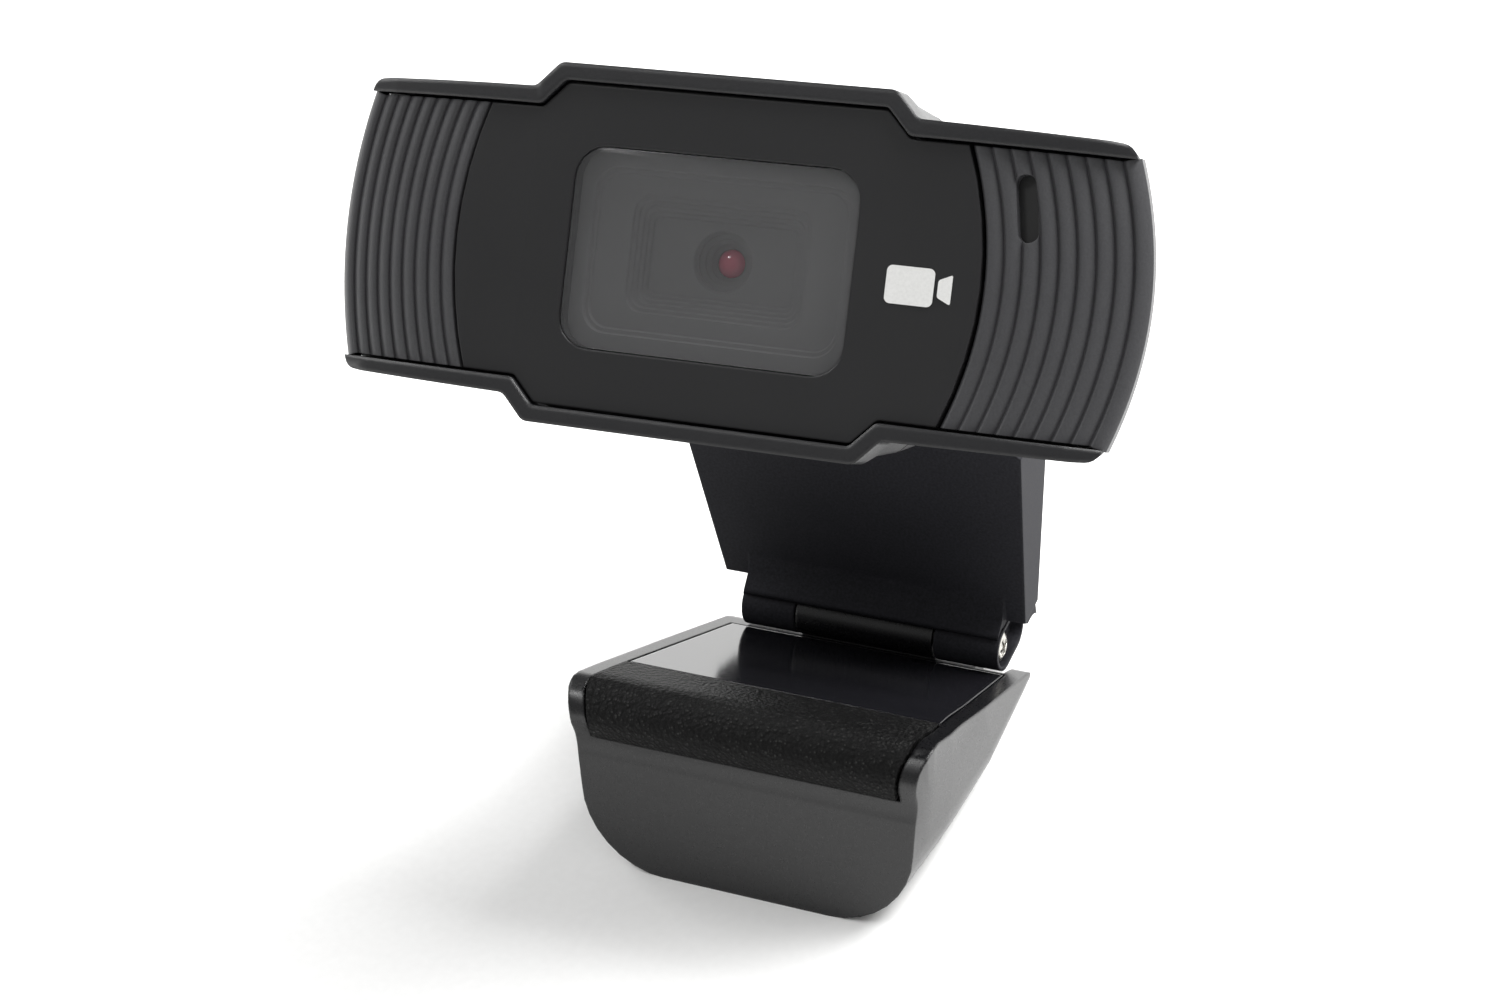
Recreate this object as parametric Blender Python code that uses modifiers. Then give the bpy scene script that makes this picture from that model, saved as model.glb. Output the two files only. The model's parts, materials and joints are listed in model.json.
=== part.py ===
"""Desk webcam on a folding clip stand, built from separate pieces."""
import math

import bmesh
import bpy
from mathutils import Matrix, Vector

mm = 0.001

# Overall sizes
HEAD_WIDTH = 90.0 * mm
HEAD_HEIGHT = 37.2 * mm
HEAD_DEPTH = 26.0 * mm
FACE_TILT = math.radians(39.6)
FACE_PAN = math.radians(2.4)
BASE_LENGTH = 40.8 * mm
BASE_HALF_WIDTH = 20.0 * mm
BASE_SLOPE = math.radians(30.7)
NECK_HALF_WIDTH = 19.7 * mm
NECK_TOP = 44.0 * mm
BARREL_RADIUS = 2.85 * mm
BARREL_LEFT = -16.2 * mm
BARREL_RIGHT = 17.4 * mm
CENTRE_KNUCKLE_HALF = 8.9 * mm
WALL = 1.8 * mm
GAP = 0.3 * mm

# Head details, measured from the centre of the face
WRAP_SPAN = 24.5 * mm
FLAT_HALF = HEAD_WIDTH / 2 - WRAP_SPAN
WRAP_RADIUS = 60.0 * mm
STEP_INNER = 18.4 * mm
STEP_OUTER = 21.0 * mm
STEP_DROP = 2.65 * mm
BEZEL_BAND = 1.75 * mm
BEZEL_PROUD = 0.6 * mm
PLATE_HALF = 26.1 * mm
PLATE_BULGE = 2.8 * mm
END_BULGE = 2.4 * mm
PANEL_THICKNESS = 2.2 * mm
FLOOR_FRONT = 2.5 * mm
FLOOR_BACK = 4.5 * mm
PARTING_DEPTH = 12.0 * mm
END_TUCK = 2.8 * mm
CROWN_TUCK = 1.2 * mm
WINDOW_HALF_X = 15.8 * mm
WINDOW_HALF_Z = 10.45 * mm
WINDOW_RADIUS = 3.4 * mm
RIB_COUNT = 9
RIB_HEIGHT = 0.5 * mm
PIVOT_DEPTH = HEAD_DEPTH + 12.0 * mm
PIVOT_RISE = 1.2 * mm
PIVOT_STAND = 10.6025 * mm
SCREW_OFFSET = 24.0 * mm
BOARD_SCREW_X = 14.0 * mm
BOARD_SCREW_Z = 13.2 * mm

# Base and hinge, side view
HINGE_Y = 23.6 * mm
BARREL_LIFT = 2.7855 * mm
HINGE_Z = BARREL_RADIUS / math.cos(BASE_SLOPE) + BARREL_LIFT
EAR_REACH = 3.4 * mm
EAR_WIDTH = 3.2 * mm
FOLD_BACK_LIMIT = math.radians(-45.0)
REAR_Y = 23.9 * mm
REAR_HEIGHT = 2.9 * mm
NOSE_RADIUS = 3.6 * mm
FLAP_LEAN = math.radians(18.0)
RIM_WIDTH = 2.1 * mm
CORNER_REAR = 2.2 * mm
CORNER_FRONT = 10.0 * mm
NECK_FRONT = 25.0 * mm
NECK_PLATE = 2.0 * mm

HALF_WIDTH = HEAD_WIDTH / 2
HALF_HEIGHT = HEAD_HEIGHT / 2
FRONT_Y = REAR_Y - BASE_LENGTH
PIVOT_Y = (PIVOT_DEPTH * math.cos(FACE_TILT) + PIVOT_RISE * math.sin(FACE_TILT))
PIVOT_Z = NECK_TOP + PIVOT_STAND
NECK_BACK = PIVOT_Y + 5.7 * mm
CENTRE_Y = -9.0 * mm

for old in list(bpy.data.objects):
    bpy.data.objects.remove(old, do_unlink=True)

scene = bpy.context.scene
parts = bpy.data.collections.new("webcam_on_folding_stand")
cutters = bpy.data.collections.new("cutters")
scene.collection.children.link(parts)
scene.collection.children.link(cutters)
cutters.hide_render = True


def material(name, colour, roughness, metallic=0.0):
    mat = bpy.data.materials.new(name)
    mat.use_nodes = True
    shader = mat.node_tree.nodes["Principled BSDF"]
    shader.inputs["Base Color"].default_value = (*colour, 1.0)
    shader.inputs["Roughness"].default_value = roughness
    shader.inputs["Metallic"].default_value = metallic
    mat.diffuse_color = (*colour, 1.0)
    return mat


satin = material("satin_black_plastic", (0.025, 0.025, 0.027), 0.45)
gloss = material("gloss_black_plastic", (0.02, 0.02, 0.022), 0.15)
face = material("face_grey_plastic", (0.033, 0.033, 0.034), 0.4)
ribbed = material("ribbed_grey_plastic", (0.05, 0.05, 0.052), 0.5)
smoke = material("smoked_window", (0.09, 0.09, 0.09), 0.2)
glass = material("coated_glass", (0.25, 0.05, 0.07), 0.05)
rubber = material("black_rubber", (0.012, 0.012, 0.012), 0.9)
steel = material("plated_steel", (0.6, 0.6, 0.58), 0.3, 1.0)
board_green = material("circuit_board", (0.01, 0.09, 0.04), 0.5)
inner = material("inner_black_plastic", (0.015, 0.015, 0.015), 0.6)


def anchor(name, location, rotation=(0.0, 0.0, 0.0)):
    empty = bpy.data.objects.new(name, None)
    empty.location = location
    empty.rotation_euler = rotation
    empty.empty_display_size = 0.01
    parts.objects.link(empty)
    return empty


shift = Vector((0.0, CENTRE_Y, 0.0))
base_frame = anchor("base_frame", shift)
neck_frame = anchor("neck_frame", shift + Vector((0.0, HINGE_Y, HINGE_Z)))
pan_frame = anchor("pan_frame", shift + Vector((0.0, PIVOT_Y, NECK_TOP)),
                   (0.0, 0.0, FACE_PAN))
head_frame = anchor("head_frame", shift + Vector((0.0, PIVOT_Y, PIVOT_Z)),
                    (-FACE_TILT, 0.0, FACE_PAN))
frames = {
    "base": (base_frame, Vector((0.0, 0.0, 0.0))),
    "neck": (neck_frame, Vector((0.0, -HINGE_Y, -HINGE_Z))),
    "pan": (pan_frame, Vector((0.0, 0.0, -NECK_TOP))),
    "head": (head_frame, Vector((0.0, -PIVOT_DEPTH, -PIVOT_RISE))),
}


def place(name, mesh, body, mat=None):
    """Put a mesh in its frame, as a finished piece or as a hidden cutter."""
    obj = bpy.data.objects.new(name, mesh)
    frame, offset = frames[body]
    obj.parent = frame
    obj.location = offset
    if mat is None:
        cutters.objects.link(obj)
        obj.display_type = 'WIRE'
        obj.hide_render = True
    else:
        mesh.materials.clear()
        mesh.materials.append(mat)
        parts.objects.link(obj)
    return obj


def combine(obj, other, operation):
    mod = obj.modifiers.new(operation.lower() + "_" + other.name, 'BOOLEAN')
    mod.operation = operation
    mod.object = other
    mod.solver = 'EXACT'
    return obj


def plate_mesh(name, outline, start, end, plane):
    """Extrude a closed outline between two distances along an axis."""
    curve = bpy.data.curves.new(name, 'CURVE')
    curve.dimensions = '2D'
    curve.fill_mode = 'BOTH'
    curve.extrude = (end - start) / 2
    spline = curve.splines.new('POLY')
    spline.points.add(len(outline) - 1)
    for point, (u, v) in zip(spline.points, outline):
        point.co = (u, v, 0.0, 1.0)
    spline.use_cyclic_u = True
    holder = bpy.data.objects.new(name, curve)
    scene.collection.objects.link(holder)
    graph = bpy.context.evaluated_depsgraph_get()
    mesh = bpy.data.meshes.new_from_object(holder.evaluated_get(graph))
    bpy.data.objects.remove(holder, do_unlink=True)
    middle = (start + end) / 2
    turns = {
        "XZ": Matrix(((1, 0, 0, 0), (0, 0, 1, middle), (0, 1, 0, 0), (0, 0, 0, 1))),
        "XY": Matrix(((1, 0, 0, 0), (0, 1, 0, 0), (0, 0, 1, middle), (0, 0, 0, 1))),
        "YZ": Matrix(((0, 0, 1, middle), (1, 0, 0, 0), (0, 1, 0, 0), (0, 0, 0, 1))),
    }
    mesh.transform(turns[plane])
    work = bmesh.new()
    work.from_mesh(mesh)
    bmesh.ops.remove_doubles(work, verts=work.verts, dist=0.000001)
    bmesh.ops.dissolve_limit(work, angle_limit=0.0005, verts=work.verts,
                             edges=work.edges)
    bmesh.ops.recalc_face_normals(work, faces=work.faces)
    work.to_mesh(mesh)
    work.free()
    mesh.name = name
    return mesh


def box_mesh(name, low, high):
    """A block between two corners, from a scaled unit cube."""
    work = bmesh.new()
    bmesh.ops.create_cube(work, size=1.0)
    size = [h - l for l, h in zip(low, high)]
    centre = [(h + l) / 2 for l, h in zip(low, high)]
    matrix = Matrix.Translation(centre) @ Matrix.Diagonal((*size, 1.0))
    bmesh.ops.transform(work, matrix=matrix, verts=work.verts)
    mesh = bpy.data.meshes.new(name)
    work.to_mesh(mesh)
    work.free()
    return mesh


def along(axis, centre):
    """A matrix that stands the local Z axis along a world axis at a point."""
    turn = Matrix.Identity(4)
    if axis == "X":
        turn = Matrix.Rotation(math.radians(90), 4, 'Y')
    if axis == "Y":
        turn = Matrix.Rotation(math.radians(-90), 4, 'X')
    return Matrix.Translation(centre) @ turn


def rod_mesh(name, radius, start, end, axis, centre, sides=24):
    """A cylinder along an axis, from start to end, through a centre point."""
    work = bmesh.new()
    bmesh.ops.create_cone(work, cap_ends=True, segments=sides, radius1=radius,
                          radius2=radius, depth=end - start)
    slide = Matrix.Translation((0.0, 0.0, (start + end) / 2))
    bmesh.ops.transform(work, matrix=along(axis, centre) @ slide, verts=work.verts)
    mesh = bpy.data.meshes.new(name)
    work.to_mesh(mesh)
    work.free()
    return mesh


def turned(name, profile, axis, centre, body, mat, steps=28):
    """A turned piece: the profile lists radius and height, top to bottom."""
    work = bmesh.new()
    verts = [work.verts.new((radius, 0.0, height)) for radius, height in profile]
    for first, second in zip(verts, verts[1:]):
        work.edges.new((first, second))
    mesh = bpy.data.meshes.new(name)
    work.to_mesh(mesh)
    work.free()
    obj = place(name, mesh, body, mat)
    frame, offset = frames[body]
    obj.matrix_basis = Matrix.Translation(offset) @ along(axis, centre)
    mod = obj.modifiers.new("turn", 'SCREW')
    mod.axis = 'Z'
    mod.steps = steps
    mod.render_steps = steps
    mod.use_merge_vertices = True
    mod.merge_threshold = 0.00001
    return obj


def loft_mesh(name, sections):
    """Join a row of closed sections, each a ring of points, into one body."""
    work = bmesh.new()
    rings = [[work.verts.new(point) for point in ring] for ring in sections]
    count = len(rings[0])
    for first, second in zip(rings, rings[1:]):
        for index in range(count):
            after = (index + 1) % count
            work.faces.new((first[index], first[after], second[after], second[index]))
    work.faces.new(rings[0])
    work.faces.new(rings[-1])
    bmesh.ops.recalc_face_normals(work, faces=work.faces)
    mesh = bpy.data.meshes.new(name)
    work.to_mesh(mesh)
    work.free()
    return mesh


def arc(centre_u, centre_v, radius, start, end, count):
    points = []
    for index in range(count + 1):
        angle = math.radians(start + (end - start) * index / count)
        points.append((centre_u + radius * math.cos(angle),
                       centre_v + radius * math.sin(angle)))
    return points


def filleted(corners, count=4):
    """Round each corner (u, v, radius) of a closed outline."""
    outline = []
    total = len(corners)
    for index, (u, v, radius) in enumerate(corners):
        here = Vector((u, v))
        if radius <= 0:
            outline.append((u, v))
            continue
        before = Vector(corners[index - 1][:2]) - here
        after = Vector(corners[(index + 1) % total][:2]) - here
        before.normalize()
        after.normalize()
        half = before.angle(after) / 2
        reach = radius / math.tan(half)
        centre = here + (before + after).normalized() * (radius / math.sin(half))
        first = here + before * reach - centre
        last = here + after * reach - centre
        sweep = first.angle_signed(last)
        for step in range(count + 1):
            turned_by = first.copy()
            turned_by.rotate(Matrix.Rotation(-sweep * step / count, 2))
            outline.append(tuple(centre + turned_by))
    return outline


def rounded_rectangle(half_u, half_v, radius, count=5, centre=(0.0, 0.0)):
    u, v = centre
    corners = [(u + half_u, v + half_v, radius), (u - half_u, v + half_v, radius),
               (u - half_u, v - half_v, radius), (u + half_u, v - half_v, radius)]
    return filleted(corners, count)


def four_way(quarter):
    """Mirror a quarter outline, from the middle of the top to the right end."""
    right = quarter + [(u, -v) for u, v in reversed(quarter) if abs(v) > 1e-7]
    left = [(-u, v) for u, v in reversed(right) if abs(u) > 1e-7]
    return right + left


def face_depth(x):
    """How far the curved face falls back at a distance from the middle."""
    return max(0.0, abs(x) - FLAT_HALF) ** 2 / (2 * WRAP_RADIUS)


def end_edge(z):
    return HALF_WIDTH - END_BULGE * (z / (HALF_HEIGHT - STEP_DROP - BEZEL_BAND)) ** 2


def plate_edge(z):
    reach = HALF_HEIGHT - STEP_DROP - BEZEL_BAND
    return PLATE_HALF + PLATE_BULGE * (1 - (z / reach) ** 2)


def head_outline(wall=0.0, pull_in=0.0, lower=0.0):
    """The stepped outline of the head, with its ends and height drawn in."""
    wing = HALF_HEIGHT - STEP_DROP
    corners = [(0.0, HALF_HEIGHT, 0.0), (STEP_INNER, HALF_HEIGHT, 1.3 * mm),
               (STEP_OUTER, wing, 1.3 * mm), (end_edge(wing), wing - 0.3 * mm, 1.5 * mm)]
    corners += [(end_edge(wing * k), wing * k, 0.0) for k in (0.75, 0.5, 0.25)]
    corners += [(HALF_WIDTH, 0.0, 0.0)]
    quarter = filleted(corners)
    across = (HALF_WIDTH - wall) / HALF_WIDTH
    up = (HALF_HEIGHT - wall) / HALF_HEIGHT * (HALF_HEIGHT - lower) / HALF_HEIGHT
    squeeze = pull_in / (HALF_WIDTH - STEP_OUTER)
    outline = []
    for u, v in four_way(quarter):
        beyond = max(0.0, abs(u) - STEP_OUTER) * squeeze
        outline.append(((u - math.copysign(beyond, u)) * across, v * up))
    return outline


def opening_outline(gap, far):
    """The stepped opening inside the bezel band, run out past both ends."""
    band = BEZEL_BAND + gap
    wing = HALF_HEIGHT - STEP_DROP - band
    quarter = filleted([(0.0, HALF_HEIGHT - band, 0.0),
                        (STEP_INNER - band * 0.4, HALF_HEIGHT - band, 0.8 * mm),
                        (STEP_OUTER - band * 0.4, wing, 0.8 * mm),
                        (far, wing, 0.0), (far, 0.0, 0.0)], 3)
    return four_way(quarter)


def face_plate_outline():
    band = BEZEL_BAND + GAP
    wing = HALF_HEIGHT - STEP_DROP - band
    corners = [(0.0, HALF_HEIGHT - band, 0.0),
               (STEP_INNER - band * 0.4, HALF_HEIGHT - band, 0.8 * mm),
               (STEP_OUTER - band * 0.4, wing, 0.8 * mm),
               (plate_edge(wing), wing, 0.0)]
    corners += [(plate_edge(wing * k), wing * k, 0.0) for k in (0.75, 0.5, 0.25, 0.0)]
    return four_way(filleted(corners, 3))


def curved_band(near, far=None, flat_back=None):
    """A plan outline that follows the curved face between two depths."""
    steps = [0.0, 0.25, 0.5, 0.75, 1.0, 1.15]
    reach = HALF_WIDTH - FLAT_HALF
    xs = [FLAT_HALF + reach * k for k in steps]
    row = [-x for x in reversed(xs)] + xs
    front = [(x, face_depth(x) + near) for x in row]
    if flat_back is not None:
        back = [(row[-1], flat_back), (row[0], flat_back)]
    else:
        back = [(x, face_depth(x) + far) for x in reversed(row)]
    return front + back


print("head shells")
tall = HALF_HEIGHT + 6 * mm
wrap_depth = face_depth(HALF_WIDTH)
envelope = [(-3 * mm, 0.0, 0.0), (FLOOR_FRONT, 0.0, 0.0),
            (wrap_depth + 0.9 * mm, 0.2 * mm, 0.75 * mm),
            (PARTING_DEPTH, END_TUCK, CROWN_TUCK)]
bezel = place("front_bezel", loft_mesh("front_bezel", [
    [(u, y, v) for u, v in head_outline(0.0, pull_in, lower)]
    for y, pull_in, lower in envelope]), "head", satin)
combine(bezel, place("bezel_curve", plate_mesh(
    "bezel_curve", curved_band(-BEZEL_PROUD, flat_back=PARTING_DEPTH + 2 * mm),
    -tall, tall, "XY"), "head"), 'INTERSECT')
pocket = place("panel_pocket", plate_mesh("panel_pocket", opening_outline(
    0.0, HALF_WIDTH + 5 * mm), -6 * mm, 12 * mm, "XZ"), "head")
combine(pocket, place("pocket_curve", plate_mesh(
    "pocket_curve", curved_band(-5 * mm, FLOOR_FRONT), -tall, tall, "XY"), "head"),
    'INTERSECT')
combine(bezel, pocket, 'DIFFERENCE')
hollow = place("bezel_hollow", plate_mesh("bezel_hollow", head_outline(
    WALL, END_TUCK, CROWN_TUCK), 3 * mm, PARTING_DEPTH + 3 * mm, "XZ"), "head")
combine(hollow, place("hollow_curve", plate_mesh(
    "hollow_curve", curved_band(FLOOR_BACK, flat_back=PARTING_DEPTH + 5 * mm),
    -tall, tall, "XY"), "head"), 'INTERSECT')
combine(bezel, hollow, 'DIFFERENCE')
for side, label in ((-1, "left"), (1, "right")):
    combine(bezel, place(label + "_boss", rod_mesh(
        label + "_boss", 2.7 * mm, FLOOR_BACK - 0.8 * mm, PARTING_DEPTH - GAP, "Y",
        (side * SCREW_OFFSET, 0.0, 0.0)), "head"), 'UNION')
    combine(bezel, place(label + "_pilot", rod_mesh(
        label + "_pilot", 1.35 * mm, FLOOR_BACK + 1.5 * mm, PARTING_DEPTH + 2 * mm, "Y",
        (side * SCREW_OFFSET, 0.0, 0.0)), "head"), 'DIFFERENCE')
    combine(bezel, place(label + "_board_boss", rod_mesh(
        label + "_board_boss", 1.9 * mm, FLOOR_BACK - 0.8 * mm, PARTING_DEPTH - 0.6 * mm,
        "Y", (side * BOARD_SCREW_X, 0.0, -BOARD_SCREW_Z)), "head"), 'UNION')
    combine(bezel, place(label + "_board_pilot", rod_mesh(
        label + "_board_pilot", 1.1 * mm, FLOOR_BACK + 2 * mm, PARTING_DEPTH + 2 * mm,
        "Y", (side * BOARD_SCREW_X, 0.0, -BOARD_SCREW_Z), 16), "head"), 'DIFFERENCE')
combine(bezel, place("baffle_hole", plate_mesh("baffle_hole", rounded_rectangle(
    WINDOW_HALF_X + 0.1 * mm, WINDOW_HALF_Z + 0.1 * mm, WINDOW_RADIUS),
    0.0, FLOOR_BACK + 4 * mm, "XZ"), "head"), 'DIFFERENCE')
mic_x = 32.5 * mm
mic_z = 8.3 * mm
combine(bezel, place("mic_seat", rod_mesh("mic_seat", 2.6 * mm, 0.0, 14 * mm, "Y",
                                          (mic_x, 0.0, mic_z), 20), "head"), 'DIFFERENCE')

plate = place("faceplate", plate_mesh("faceplate", face_plate_outline(), -4 * mm,
                                      9 * mm, "XZ"), "head", face)
combine(plate, place("plate_curve", plate_mesh(
    "plate_curve", curved_band(0.0, PANEL_THICKNESS), -tall, tall, "XY"), "head"),
    'INTERSECT')
combine(plate, place("window_hole", plate_mesh("window_hole", rounded_rectangle(
    WINDOW_HALF_X, WINDOW_HALF_Z, WINDOW_RADIUS), -3 * mm, 6 * mm, "XZ"), "head"),
    'DIFFERENCE')


def rib_height(part):
    """Height of the moulded ribs at a share of the way across the panel."""
    wave = abs(math.sin(math.pi * RIB_COUNT * part))
    return RIB_HEIGHT * wave ** 0.6


def grille_mesh(name, side):
    """A ribbed end panel, lofted from one row of ribs per height."""
    reach = HALF_HEIGHT - STEP_DROP - BEZEL_BAND - GAP
    levels = 9
    across = RIB_COUNT * 6
    sections = []
    for level in range(levels):
        z = reach * (2 * level / (levels - 1) - 1)
        first = plate_edge(z) + GAP
        last = end_edge(z)
        xs = [first + (last - first) * k / across for k in range(across + 1)]
        ring = [(side * x, face_depth(x) + RIB_HEIGHT - rib_height(k / across), z)
                for k, x in enumerate(xs)]
        draft = 1 - 0.8 * mm / (last - first)
        ring += [(side * (first + (x - first) * draft),
                  face_depth(x) + PANEL_THICKNESS, z) for x in reversed(xs[::6])]
        sections.append(ring)
    return loft_mesh(name, sections)


left_grille = place("left_grille", grille_mesh("left_grille", -1), "head", ribbed)
right_grille = place("right_grille", grille_mesh("right_grille", 1), "head", ribbed)
slot_lean = math.radians(9.0)
slot = [(mic_x + 1.0 * mm * math.cos(a) - z * math.sin(slot_lean),
         mic_z + z * math.cos(slot_lean) + 1.0 * mm * math.sin(a))
        for z, angles in ((2.35 * mm, range(0, 181, 30)), (-2.35 * mm, range(180, 361, 30)))
        for a in [math.radians(degrees) + slot_lean for degrees in angles]]
combine(right_grille, place("mic_slot", plate_mesh("mic_slot", slot, -3 * mm, 9 * mm,
                                                   "XZ"), "head"), 'DIFFERENCE')

print("optics and board")
place("lens_window", plate_mesh("lens_window", rounded_rectangle(
    WINDOW_HALF_X - GAP, WINDOW_HALF_Z - GAP, WINDOW_RADIUS - GAP), 0.8 * mm, 2.0 * mm,
    "XZ"), "head", smoke)
baffle = place("light_baffle", plate_mesh("light_baffle", rounded_rectangle(
    WINDOW_HALF_X - 0.2 * mm, WINDOW_HALF_Z - 0.2 * mm, WINDOW_RADIUS - 0.2 * mm),
    2.3 * mm, 5.6 * mm, "XZ"), "head", inner)
combine(baffle, place("baffle_flange", plate_mesh("baffle_flange", rounded_rectangle(
    WINDOW_HALF_X + 1.6 * mm, WINDOW_HALF_Z + 0.7 * mm, WINDOW_RADIUS), 4.8 * mm,
    5.7 * mm, "XZ"), "head"), 'UNION')
ledges = [(14.4, 9.0, 2.8), (11.9, 7.6, 3.2), (11.2, 6.9, 3.6), (10.5, 6.2, 4.0),
          (9.8, 5.5, 4.4)]
for index, (half_x, half_z, floor) in enumerate(ledges):
    cut = place("ledge_%d" % index, plate_mesh(
        "ledge_%d" % index, rounded_rectangle(half_x * mm, half_z * mm, 2.4 * mm),
        0.0, floor * mm, "XZ"), "head")
    combine(baffle, cut, 'DIFFERENCE')
combine(baffle, place("lens_well", rod_mesh("lens_well", 3.4 * mm, 0.0, 9 * mm, "Y",
                                            (0.0, 0.0, 0.0)), "head"), 'DIFFERENCE')

turned("lens_barrel", [(1.9 * mm, -3.6 * mm), (2.3 * mm, -3.9 * mm),
                       (3.05 * mm, -3.9 * mm), (3.05 * mm, -10.4 * mm),
                       (1.6 * mm, -10.4 * mm), (1.6 * mm, -6.2 * mm),
                       (1.9 * mm, -5.9 * mm), (1.9 * mm, -3.6 * mm)],
       "Y", (0.0, 0.0, 0.0), "head", inner)
bpy.data.objects["lens_barrel"].matrix_basis = (
    Matrix.Translation(frames["head"][1]) @ Matrix.Rotation(math.radians(90), 4, 'X'))
turned("front_lens", [(0.0, -4.3 * mm), (0.8 * mm, -4.4 * mm), (1.3 * mm, -4.65 * mm),
                      (1.6 * mm, -5.0 * mm), (1.6 * mm, -5.6 * mm), (0.0, -5.6 * mm)],
       "Y", (0.0, 0.0, 0.0), "head", glass)
bpy.data.objects["front_lens"].matrix_basis = (
    Matrix.Translation(frames["head"][1]) @ Matrix.Rotation(math.radians(90), 4, 'X'))
holder = place("lens_holder", box_mesh("lens_holder", (-6 * mm, 6.3 * mm, -6 * mm),
                                       (6 * mm, 12.1 * mm, 6 * mm)), "head", inner)
combine(holder, place("holder_bore", rod_mesh("holder_bore", 3.35 * mm, 4 * mm, 14 * mm,
                                              "Y", (0.0, 0.0, 0.0)), "head"), 'DIFFERENCE')
combine(holder, place("sensor_pocket", box_mesh(
    "sensor_pocket", (-4.2 * mm, 10.7 * mm, -4.2 * mm), (4.2 * mm, 14 * mm, 4.2 * mm)),
    "head"), 'DIFFERENCE')
place("image_sensor", box_mesh("image_sensor", (-3.2 * mm, 11.2 * mm, -2.8 * mm),
                               (3.2 * mm, 12.1 * mm, 2.8 * mm)), "head", gloss)
board = place("circuit_board", plate_mesh("circuit_board", rounded_rectangle(
    16.6 * mm, 15.1 * mm, 1.0 * mm, 3), 12.4 * mm, 13.6 * mm, "XZ"), "head", board_green)
for side, label in ((-1, "left"), (1, "right")):
    combine(board, place(label + "_board_hole", rod_mesh(
        label + "_board_hole", 1.15 * mm, 10 * mm, 16 * mm, "Y",
        (side * BOARD_SCREW_X, 0.0, -BOARD_SCREW_Z), 16), "head"), 'DIFFERENCE')
place("board_connector", box_mesh("board_connector", (-15 * mm, 13.9 * mm, -7 * mm),
                                  (-7 * mm, 17.4 * mm, -2.5 * mm)), "head", inner)
turned("microphone", [(0.0, -5.1 * mm), (2.2 * mm, -5.1 * mm), (2.2 * mm, -7.4 * mm),
                      (0.0, -7.4 * mm)], "Y", (0.0, 0.0, 0.0), "head", steel, 20)
bpy.data.objects["microphone"].matrix_basis = (
    Matrix.Translation(frames["head"][1] + Vector((mic_x, 0.0, mic_z)))
    @ Matrix.Rotation(math.radians(90), 4, 'X'))


def pan_head_screw(name, radius, head_radius, head_height, length, matrix, body):
    """A cross-head screw whose head top is at the origin and shank runs down Z."""
    profile = [(0.0, 0.0), (head_radius * 0.6, -head_height * 0.08),
               (head_radius * 0.9, -head_height * 0.35), (head_radius, -head_height * 0.7),
               (head_radius, -head_height), (radius, -head_height),
               (radius, -length + radius * 0.5), (radius * 0.4, -length), (0.0, -length)]
    screw = turned(name, profile, "Z", (0.0, 0.0, 0.0), body, steel, 18)
    screw.matrix_basis = Matrix.Translation(frames[body][1]) @ matrix
    slot_half = head_radius * 0.13
    reach = head_radius * 0.55
    for label, long_x, long_y in (("a", reach, slot_half), ("b", slot_half, reach)):
        mark = place(name + "_slot_" + label, box_mesh(
            name + "_slot_" + label, (-long_x, -long_y, -head_height * 0.6),
            (long_x, long_y, head_height)), body)
        mark.matrix_basis = screw.matrix_basis
        combine(screw, mark, 'DIFFERENCE')
    return screw


def facing(direction, point):
    """A matrix that points local Z along a direction, at a point."""
    turn = Vector(direction).to_track_quat('Z', 'Y').to_matrix().to_4x4()
    return Matrix.Translation(point) @ turn


for side, label in ((-1, "left"), (1, "right")):
    pan_head_screw("board_screw_" + label, 0.8 * mm, 1.7 * mm, 1.1 * mm, 7.4 * mm,
                   facing((0, 1, 0), (side * BOARD_SCREW_X, 15.0 * mm, -BOARD_SCREW_Z)), "head")

print("rear housing")
back = HEAD_DEPTH


def housing_mesh(name, wall, front, shorten):
    """The tapered rear shell, lofted from the stepped head outline."""
    reach = back - PARTING_DEPTH
    rows = [(front, END_TUCK, CROWN_TUCK),
            (PARTING_DEPTH + reach * 0.4, END_TUCK * 1.75, CROWN_TUCK * 1.6),
            (PARTING_DEPTH + reach * 0.72, END_TUCK * 2.95, CROWN_TUCK * 2.9),
            (back - 0.6 * mm - shorten, END_TUCK * 4.3, CROWN_TUCK * 4.8),
            (back - shorten, END_TUCK * 4.6, CROWN_TUCK * 5.5)]
    sections = [[(u, y, v) for u, v in head_outline(wall, pull_in, lower)]
                for y, pull_in, lower in rows]
    return loft_mesh(name, sections)


housing = place("rear_housing", housing_mesh("rear_housing", 0.0, PARTING_DEPTH + GAP,
                                             0.0), "head", satin)
combine(housing, place("housing_hollow", housing_mesh(
    "housing_hollow", WALL + 0.2 * mm, PARTING_DEPTH - 2 * mm, WALL + 0.2 * mm), "head"),
    'DIFFERENCE')
knuckle_half = 4.0 * mm
knuckle_radius = 4.3 * mm
combine(housing, place("tilt_arm", box_mesh(
    "tilt_arm", (-knuckle_half, back - 1.2 * mm, PIVOT_RISE - 3.2 * mm),
    (knuckle_half, PIVOT_DEPTH, PIVOT_RISE + 3.2 * mm)), "head"), 'UNION')
combine(housing, place("tilt_knuckle", rod_mesh(
    "tilt_knuckle", knuckle_radius, -knuckle_half, knuckle_half, "X",
    (0.0, PIVOT_DEPTH, PIVOT_RISE), 28), "head"), 'UNION')
combine(housing, place("tilt_bore", rod_mesh(
    "tilt_bore", 1.8 * mm, -9 * mm, 9 * mm, "X", (0.0, PIVOT_DEPTH, PIVOT_RISE), 20),
    "head"), 'DIFFERENCE')
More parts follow.
